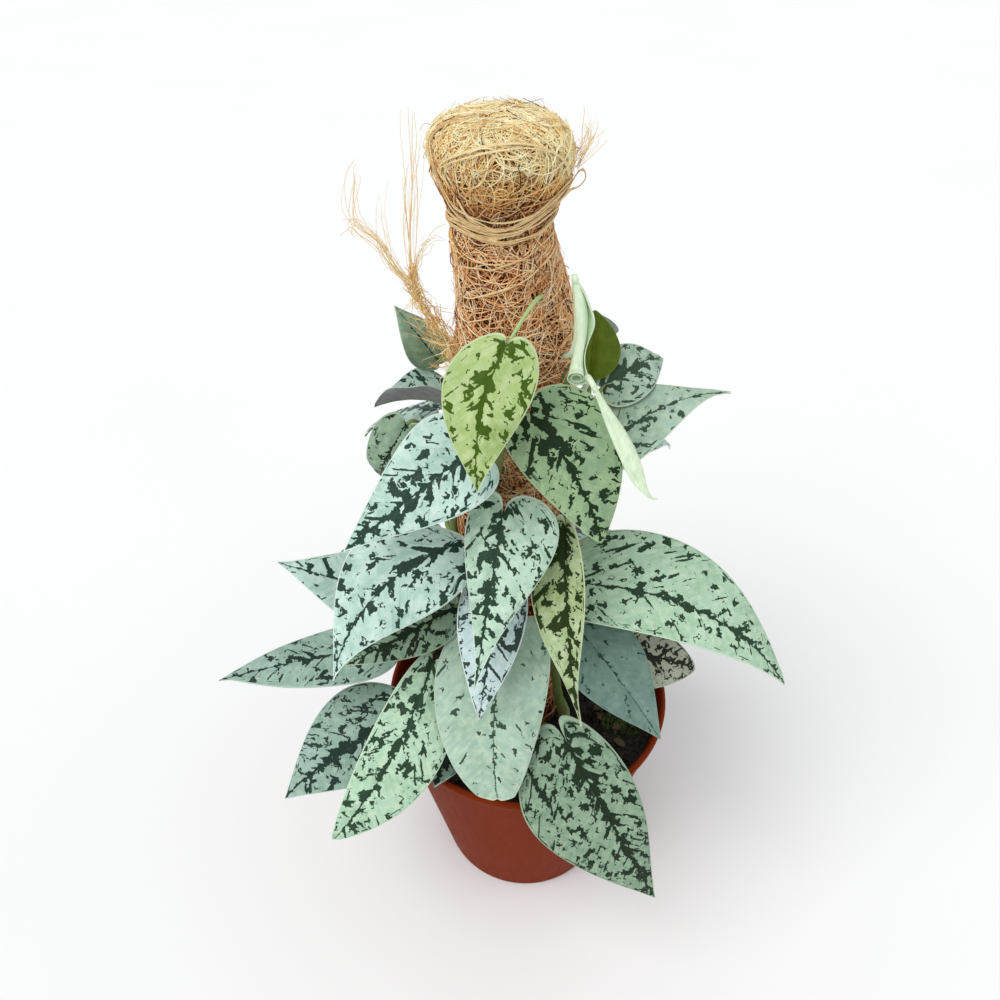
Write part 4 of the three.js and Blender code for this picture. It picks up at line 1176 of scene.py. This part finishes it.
# The mottling is one group. It is worked out from the place on the blade, in centimetres, so that the marks
# follow the veins of each leaf.
mottling = bpy.data.node_groups.new("satin_mottling", "ShaderNodeTree")
for label, kind in [
    ("Place", "NodeSocketVector"), ("Share", "NodeSocketVector"), ("Stalk", "NodeSocketFloat"),
    ("Silver", "NodeSocketColor"), ("Tinge", "NodeSocketColor"), ("Dark", "NodeSocketColor"),
    ("Underside", "NodeSocketColor"), ("Edge", "NodeSocketColor"), ("Stalk Colour", "NodeSocketColor"),
    ("Band", "NodeSocketFloat"), ("Heart", "NodeSocketFloat"), ("Spread", "NodeSocketFloat"),
    ("Blotches", "NodeSocketFloat"), ("Seed", "NodeSocketFloat"),
]:
    mottling.interface.new_socket(label, in_out="INPUT", socket_type=kind)
mottling.interface.new_socket("Colour", in_out="OUTPUT", socket_type="NodeSocketColor")
mottling.interface.new_socket("Roughness", in_out="OUTPUT", socket_type="NodeSocketFloat")
mottling.interface.new_socket("Height", in_out="OUTPUT", socket_type="NodeSocketFloat")

tree = mottling
given = tree.nodes.new("NodeGroupInput").outputs
place = tree.nodes.new("ShaderNodeSeparateXYZ")
tree.links.new(given["Place"], place.inputs[0])
share = tree.nodes.new("ShaderNodeSeparateXYZ")
tree.links.new(given["Share"], share.inputs[0])
run, across, margin = place.outputs
lengthwise, _, beneath = share.outputs


# The steps of the mottling's own tree.
def point(x, y, z):
    node = tree.nodes.new("ShaderNodeCombineXYZ")
    for socket, value in zip(node.inputs, (x, y, z)):
        put(tree, socket, value)
    return node.outputs[0]


def times(a, b):
    return calc(tree, "MULTIPLY", a, b)


def plus(a, b):
    return calc(tree, "ADD", a, b)


def less(a, b):
    return calc(tree, "SUBTRACT", a, b)


def fading(distance):
    """1 where a distance is 0, and less and less further off."""
    return calc(tree, "POWER", 2.718, times(distance, -1.0))


def inked(marks, ink, softness):
    """The marks, and more of them wherever the ink is above 0."""
    return calc(tree, "MAXIMUM", marks, between(tree, ink, 0.0, softness))


flat_place = point(run, across, given["Seed"])
out = calc(tree, "ABSOLUTE", across)
side_seed = plus(times(calc(tree, "SIGN", across), 5.3), given["Seed"])
# Swirls of two sizes shift each place, so that the marks get torn edges.
swirl_run = less(grain(tree, point(run, across, plus(given["Seed"], 2.0)), 4.5, 1.0, 0.5), 0.5)
swirl_out = less(grain(tree, point(across, run, plus(given["Seed"], 4.0)), 4.5, 1.0, 0.5), 0.5)
crag_run = less(grain(tree, point(run, across, plus(given["Seed"], 6.0)), 11.0, 1.5, 0.55), 0.5)
crag_out = less(grain(tree, point(across, run, plus(given["Seed"], 8.0)), 11.0, 1.5, 0.55), 0.5)
torn_run = plus(run, plus(times(swirl_run, 0.5), times(crag_run, 0.14)))
torn_out = plus(out, plus(times(swirl_out, 0.5), times(crag_out, 0.14)))
vein = less(less(run, times(out, VEIN_SLANT)), times(times(out, out), VEIN_BEND * 10))
torn_vein = plus(vein, plus(times(swirl_run, 0.12), times(crag_run, 0.1)))
sparse = times(less(1.0, given["Blotches"]), 0.22)

# Blotches, which run together in a band along the midrib that is broadest in the heart of the blade.
off_heart = calc(tree, "DIVIDE", less(lengthwise, given["Heart"]), given["Spread"])
spindle = fading(times(off_heart, off_heart))
star = times(fading(times(calc(tree, "ABSOLUTE", run), 1.8)), 0.15)
girth = times(plus(plus(times(spindle, 0.22), star), 0.05), given["Band"])
off_rib = calc(tree, "DIVIDE", plus(out, times(crag_out, 0.2)), girth)
by_rib = fading(times(times(off_rib, off_rib), 0.5))
blot_run = less(torn_run, times(out, 0.4))
blots = grain(tree, point(times(blot_run, 2.3), times(torn_out, 2.5), side_seed), 1.0, 0.4, 0.5)
ink = less(plus(less(blots, 0.5), times(by_rib, 0.19)), plus(sparse, 0.12))
marks = between(tree, ink, 0.0, 0.012)

# Arms that reach out from the band along the side veins.
arms = grain(tree, point(times(torn_vein, 3.2), times(torn_out, 1.2), plus(side_seed, 9.0)), 1.0, 0.6)
near_rib = fading(calc(tree, "DIVIDE", out, plus(girth, 0.02)))
arm_ink = less(plus(less(arms, 0.5), times(near_rib, 0.24)), plus(sparse, 0.17))
marks = inked(marks, arm_ink, 0.012)

# The dark core of the band, right on the midrib.
core = grain(tree, point(times(run, 1.5), plus(given["Seed"], 15.0), 0.0), 1.0, 2.0)
core_width = times(times(less(core, 0.36), 0.45), calc(tree, "MINIMUM", given["Band"], 1.0))
core_ink = less(times(core_width, less(1.1, lengthwise)), plus(out, times(crag_out, 0.12)))
marks = inked(marks, core_ink, 0.01)

# Broken rings, small specks, and short lines close to the edge, which stays pale.
ripples = grain(tree, point(times(blot_run, 1.9), times(torn_out, 1.9), plus(side_seed, 21.0)), 1.0, 0.2)
ring = calc(tree, "ABSOLUTE", less(ripples, 0.56))
where_rings = grain(tree, point(torn_run, torn_out, plus(side_seed, 25.0)), 1.3, 1.0)
no_rings = calc(tree, "MAXIMUM", 0.0, times(less(plus(0.6, sparse), where_rings), 8.0))
marks = inked(marks, less(less(0.055, ring), no_rings), 0.008)
small = grain(tree, point(times(torn_run, 4.4), times(torn_out, 4.2), plus(side_seed, 31.0)), 1.0, 0.6)
marks = inked(marks, less(less(small, 0.685), sparse), 0.015)
edge_lines = grain(tree, point(times(torn_run, 1.6), times(margin, 7.0), plus(side_seed, 3.0)), 1.0, 1.5)
near_edge = between(tree, margin, 0.4, 0.2)
edge_marks = between(tree, less(less(edge_lines, 0.61), sparse), 0.0, 0.015)
marks = calc(tree, "MAXIMUM", marks, times(edge_marks, near_edge))
marks = times(marks, between(tree, margin, 0.04, 0.07))

# The silver: broad patches, satin cells, pale clouds, and faint dark lines along the side veins.
patch = grain(tree, flat_place, 0.6, 1.0)
silver = blend_colours(tree, between(tree, patch, 0.34, 0.7), given["Silver"], given["Tinge"])
cells = grain(tree, flat_place, 30.0, 2.0, 0.7)
clouds = grain(tree, flat_place, 2.6, 3.0, 0.5)
satin = plus(times(between(tree, cells, 0.35, 0.65), 0.3), times(between(tree, clouds, 0.36, 0.7), 0.4))
pale = blend_colours(tree, satin, silver, given["Edge"])
shy = between(tree, grain(tree, flat_place, 1.1, 1.0), 0.42, 0.6)
veins = calc(tree, "SINE", plus(times(vein, 2 * math.pi / 0.42), times(swirl_run, 2.0)))
vein_lines = times(times(between(tree, veins, 0.7, 1.0), shy), 0.13)
veined = blend_colours(tree, vein_lines, pale, given["Dark"])
dark = blend_colours(tree, times(between(tree, cells, 0.35, 0.65), 0.08), given["Dark"], given["Tinge"])
painted = blend_colours(tree, marks, veined, dark)
midrib = between(tree, out, 0.035, 0.015)
ribbed = blend_colours(tree, times(midrib, 0.4), painted, given["Dark"])
edged = blend_colours(tree, between(tree, margin, 0.055, 0.015), ribbed, given["Edge"])

# The underside, with close veins and a keel under the midrib, and the stalk.
close_veins = between(tree, calc(tree, "SINE", times(vein, 2 * math.pi / 0.22)), 0.2, 1.0)
under = blend_colours(tree, times(between(tree, clouds, 0.35, 0.7), 0.25), given["Underside"], given["Edge"])
lined = blend_colours(tree, times(close_veins, 0.35), under, srgb(84, 92, 84))
keel = blend_colours(tree, times(between(tree, out, 0.14, 0.06), 0.6), lined, given["Stalk Colour"])
sided = blend_colours(tree, between(tree, beneath, 0.4, 0.6), edged, keel)
coloured = blend_colours(tree, given["Stalk"], sided, given["Stalk Colour"])
result = tree.nodes.new("NodeGroupOutput").inputs
tree.links.new(coloured, result["Colour"])
tree.links.new(plus(times(marks, -0.06), plus(times(cells, 0.16), 0.42)), result["Roughness"])
relief = plus(plus(times(cells, 0.25), clouds), plus(times(marks, -0.15), times(veins, 0.08)))
tree.links.new(relief, result["Height"])

# The paints of a blade: its silver and the tinge in it, the dark marks and the pale edge.
LEAF_LOOKS = {
    "silver": dict(silver=(184, 218, 206), tinge=(152, 192, 178), dark=(26, 54, 42), edge=(226, 244, 232)),
    "jade": dict(silver=(178, 212, 188), tinge=(156, 192, 168), dark=(26, 54, 36), edge=(222, 242, 222)),
    "mint": dict(silver=(170, 206, 178), tinge=(148, 188, 156), dark=(28, 56, 32), edge=(214, 236, 208)),
    "green": dict(silver=(138, 168, 124), tinge=(122, 154, 122), dark=(6, 36, 2), edge=(176, 198, 156)),
    # The next two looks are darker copies of the silver paints, for leaves that lie in the shade of others:
    # painted shade.
    "deep_shade": dict(silver=(128, 156, 130), tinge=(112, 142, 116), dark=(12, 34, 10), edge=(168, 190, 164)),
    "shade": dict(silver=(148, 178, 164), tinge=(130, 164, 146), dark=(22, 46, 34), edge=(190, 212, 196)),
    "young": dict(silver=(166, 192, 114), tinge=(138, 168, 84), dark=(60, 88, 4), edge=(206, 222, 176)),
    "yellow": dict(silver=(160, 184, 134), tinge=(134, 158, 92), dark=(24, 44, 2), edge=(204, 218, 178)),
    "lilac": dict(silver=(186, 212, 212), tinge=(170, 198, 196), dark=(32, 50, 42), edge=(228, 240, 238)),
    "plain": dict(silver=(162, 194, 178), tinge=(142, 174, 152), dark=(50, 74, 54), edge=(208, 226, 200)),
    "teal": dict(silver=(110, 140, 130), tinge=(88, 120, 108), dark=(42, 68, 58), edge=(140, 166, 154)),
    "olive": dict(silver=(90, 112, 10), tinge=(80, 102, 8), dark=(62, 84, 6), edge=(104, 124, 40)),
    "pink": dict(silver=(188, 196, 174), tinge=(170, 180, 160), dark=(24, 32, 16), edge=(198, 198, 180)),
}

# The leaves at the front get a finer mesh than the rest.
FRONT_LEAVES = 24
for number, (label, given_leaf) in enumerate(LEAVES.items()):
    leaf = {**PLAIN_LEAF, **given_leaf}
    look = LEAF_LOOKS[leaf["look"]]
    rows, columns = (72, 34) if number < FRONT_LEAVES else (56, 26)
    piece = leaf_mesh("satin_leaf_" + label, leaf, rows, columns, number * 1.37)
    finish, tree, shader = new_material("leaf_finish_" + label)
    group = tree.nodes.new("ShaderNodeGroup")
    group.node_tree = mottling
    settings = {
        "Place": carried(tree, "leaf_cm", "Vector"), "Share": carried(tree, "leaf_share", "Vector"),
        "Stalk": carried(tree, "stalk"), "Silver": srgb(*look["silver"]), "Tinge": srgb(*look["tinge"]),
        "Dark": srgb(*look["dark"]), "Edge": srgb(*look["edge"]), "Underside": srgb(*leaf["under"]),
        "Stalk Colour": srgb(*leaf["stalk"]), "Band": leaf["band"], "Heart": leaf["heart"],
        "Spread": leaf["spread"], "Blotches": leaf["blotch"], "Seed": 3.0 + number * 7.31,
    }
    for socket, value in settings.items():
        put(tree, group.inputs[socket], value)
    coat(tree, shader, group.outputs["Colour"], group.outputs["Roughness"])
    shader.inputs["Specular IOR Level"].default_value = 0.16
    bump(tree, shader, group.outputs["Height"], 0.5, 0.0009)
    piece.data.materials.append(finish)
    settle(piece, "leaf", "leaf_" + label)


# Young leaves. One is still rolled up lengthwise into a soft tube that opens at its lower end, and one is
# folded into a spear that has just left its sheath. Both are pale, almost white-green.

young_finish, tree, shader = new_material("young_leaf_skin")
place = object_place(tree)
silk = grain(tree, stretched(tree, place, (700, 700, 120)), 1.0, 2.0)
silky = between(tree, silk, 0.3, 0.7)
coat(tree, shader, blend_colours(tree, silky, srgb(206, 228, 192), srgb(226, 242, 212)), 0.42)
bump(tree, shader, silk, 0.3, 0.0004)


def young_stalk(height, end, aim):
    """The stalk of a young leaf, from the right stem at one height to the leaf's end."""
    axis = vine_at("right", height)
    leaving = unit([axis[0] - POLE_AXIS, axis[1], 0])
    start = axis + leaving * 1.2
    reach = np.linalg.norm(end - start) * 0.4
    return tube(bent([start, start + leaving * reach, end - aim * reach, end + aim], 18), 1.1, 10)


def axes_along(path, ahead):
    """The direction of a path at each point, one to its side and one across both."""
    along = np.gradient(path, axis=0)
    along /= np.linalg.norm(along, axis=-1, keepdims=True)
    aside = np.cross(along, ahead)
    aside /= np.linalg.norm(aside, axis=-1, keepdims=True)
    return along, aside, np.cross(aside, along)


ROLLED_TURNS = 2.1
# Place and radius along the rolled leaf, from its tip down to its open mouth.
ROLLED_STOPS = [
    (11.8, -26, 373, 0.9), (12.6, -26.6, 370, 2.0), (13.5, -27.2, 367, 2.6), (14.4, -28.2, 362, 2.9),
    (14.7, -29.2, 357, 2.6), (14.6, -30, 352, 2.3), (14, -30.5, 347, 2.3), (13.6, -31.5, 343, 2.8),
    (13.4, -33.5, 340.5, 3.4), (13.2, -36, 339.5, 3.7),
]
course = spline(ROLLED_STOPS, 8)
path, girths = course[:, :3], course[:, 3]
along, aside, toward = axes_along(path, [0, -1, 0.2])
wraps = np.linspace(0, 1, 72)
down = np.linspace(0, 1, len(path))[:, None]
spiral = 1 - 0.55 * wraps[None, :] ** 0.8
flap = 0.8 * np.exp(-(((down - 0.42) / 0.12) ** 2)) * np.exp(-((wraps[None, :] / 0.07) ** 2))
mouth = 0.25 * (down**10) * np.exp(-((wraps[None, :] / 0.3) ** 2))
angle = 2 * math.pi * ROLLED_TURNS * wraps[None, :] + 2.3 + 0.5 * down
size = (girths[:, None] * (spiral + flap + mouth))[..., None]
sheet_points = path[:, None] + size * (
    np.cos(angle)[..., None] * aside[:, None] + np.sin(angle)[..., None] * toward[:, None]
)
rows, columns = sheet_points.shape[:2]
quads = sheet_faces(np.arange(rows * columns).reshape(rows, columns))
rolled = link_mesh("rolled_young_leaf", sheet_points.reshape(-1, 3), quads)
thicken = rolled.modifiers.new("blade", "SOLIDIFY")
thicken.thickness = 0.0003
thicken.offset = 0
bpy.ops.object.select_all(action="DESELECT")
rolled.select_set(True)
bpy.context.view_layer.objects.active = rolled
bpy.ops.object.modifier_apply(modifier="blade")
rolled.data.materials.append(young_finish)
settle(rolled, "young_leaf", "rolled_leaf")

rolled_stalk = link_mesh("rolled_leaf_stalk", *young_stalk(349, path[0], along[0]))
rolled_stalk.data.materials.append(young_finish)
settle(rolled_stalk, "young_leaf")

SPEAR_SIDES = 24
# Place, half width and half thickness along the spear, from its stalk to its tip.
SPEAR_STOPS = [
    (19, -46, 341, 1.0, 1.0), (21, -47.5, 337.5, 1.2, 1.1), (24.5, -50.3, 331.5, 2.2, 1.4),
    (28.5, -53.5, 325, 3.1, 1.7), (33, -58, 317, 3.3, 1.7), (36, -61, 311, 2.3, 1.3),
    (38.5, -63, 307.5, 1.1, 0.8), (40.8, -64, 305.5, 0.5, 0.5), (43, -64, 305.2, 0.25, 0.25),
]
course = spline(SPEAR_STOPS, 6)
path = course[:, :3]
along, aside, toward = axes_along(path, [0, -0.78, 0.62])
turns = np.linspace(0, 2 * math.pi, SPEAR_SIDES, endpoint=False)
crease = 1 - 0.5 * np.exp(-(((turns - 1.1) / 0.28) ** 2))
ring = (
    (np.cos(turns) * crease)[None, :, None] * aside[:, None] * course[:, 3][:, None, None]
    + (np.sin(turns) * crease)[None, :, None] * toward[:, None] * course[:, 4][:, None, None]
)
spear_points = (path[:, None] + ring).reshape(-1, 3)
sheath_points, sheath_faces = young_stalk(322, path[0], along[0])
spear_faces = skin_faces(len(path), SPEAR_SIDES) + moved_on(sheath_faces, len(spear_points))
spear = link_mesh("spear_young_leaf", np.vstack([spear_points, sheath_points]), spear_faces)
spear.data.materials.append(young_finish)
settle(spear, "young_leaf", "spear_leaf")
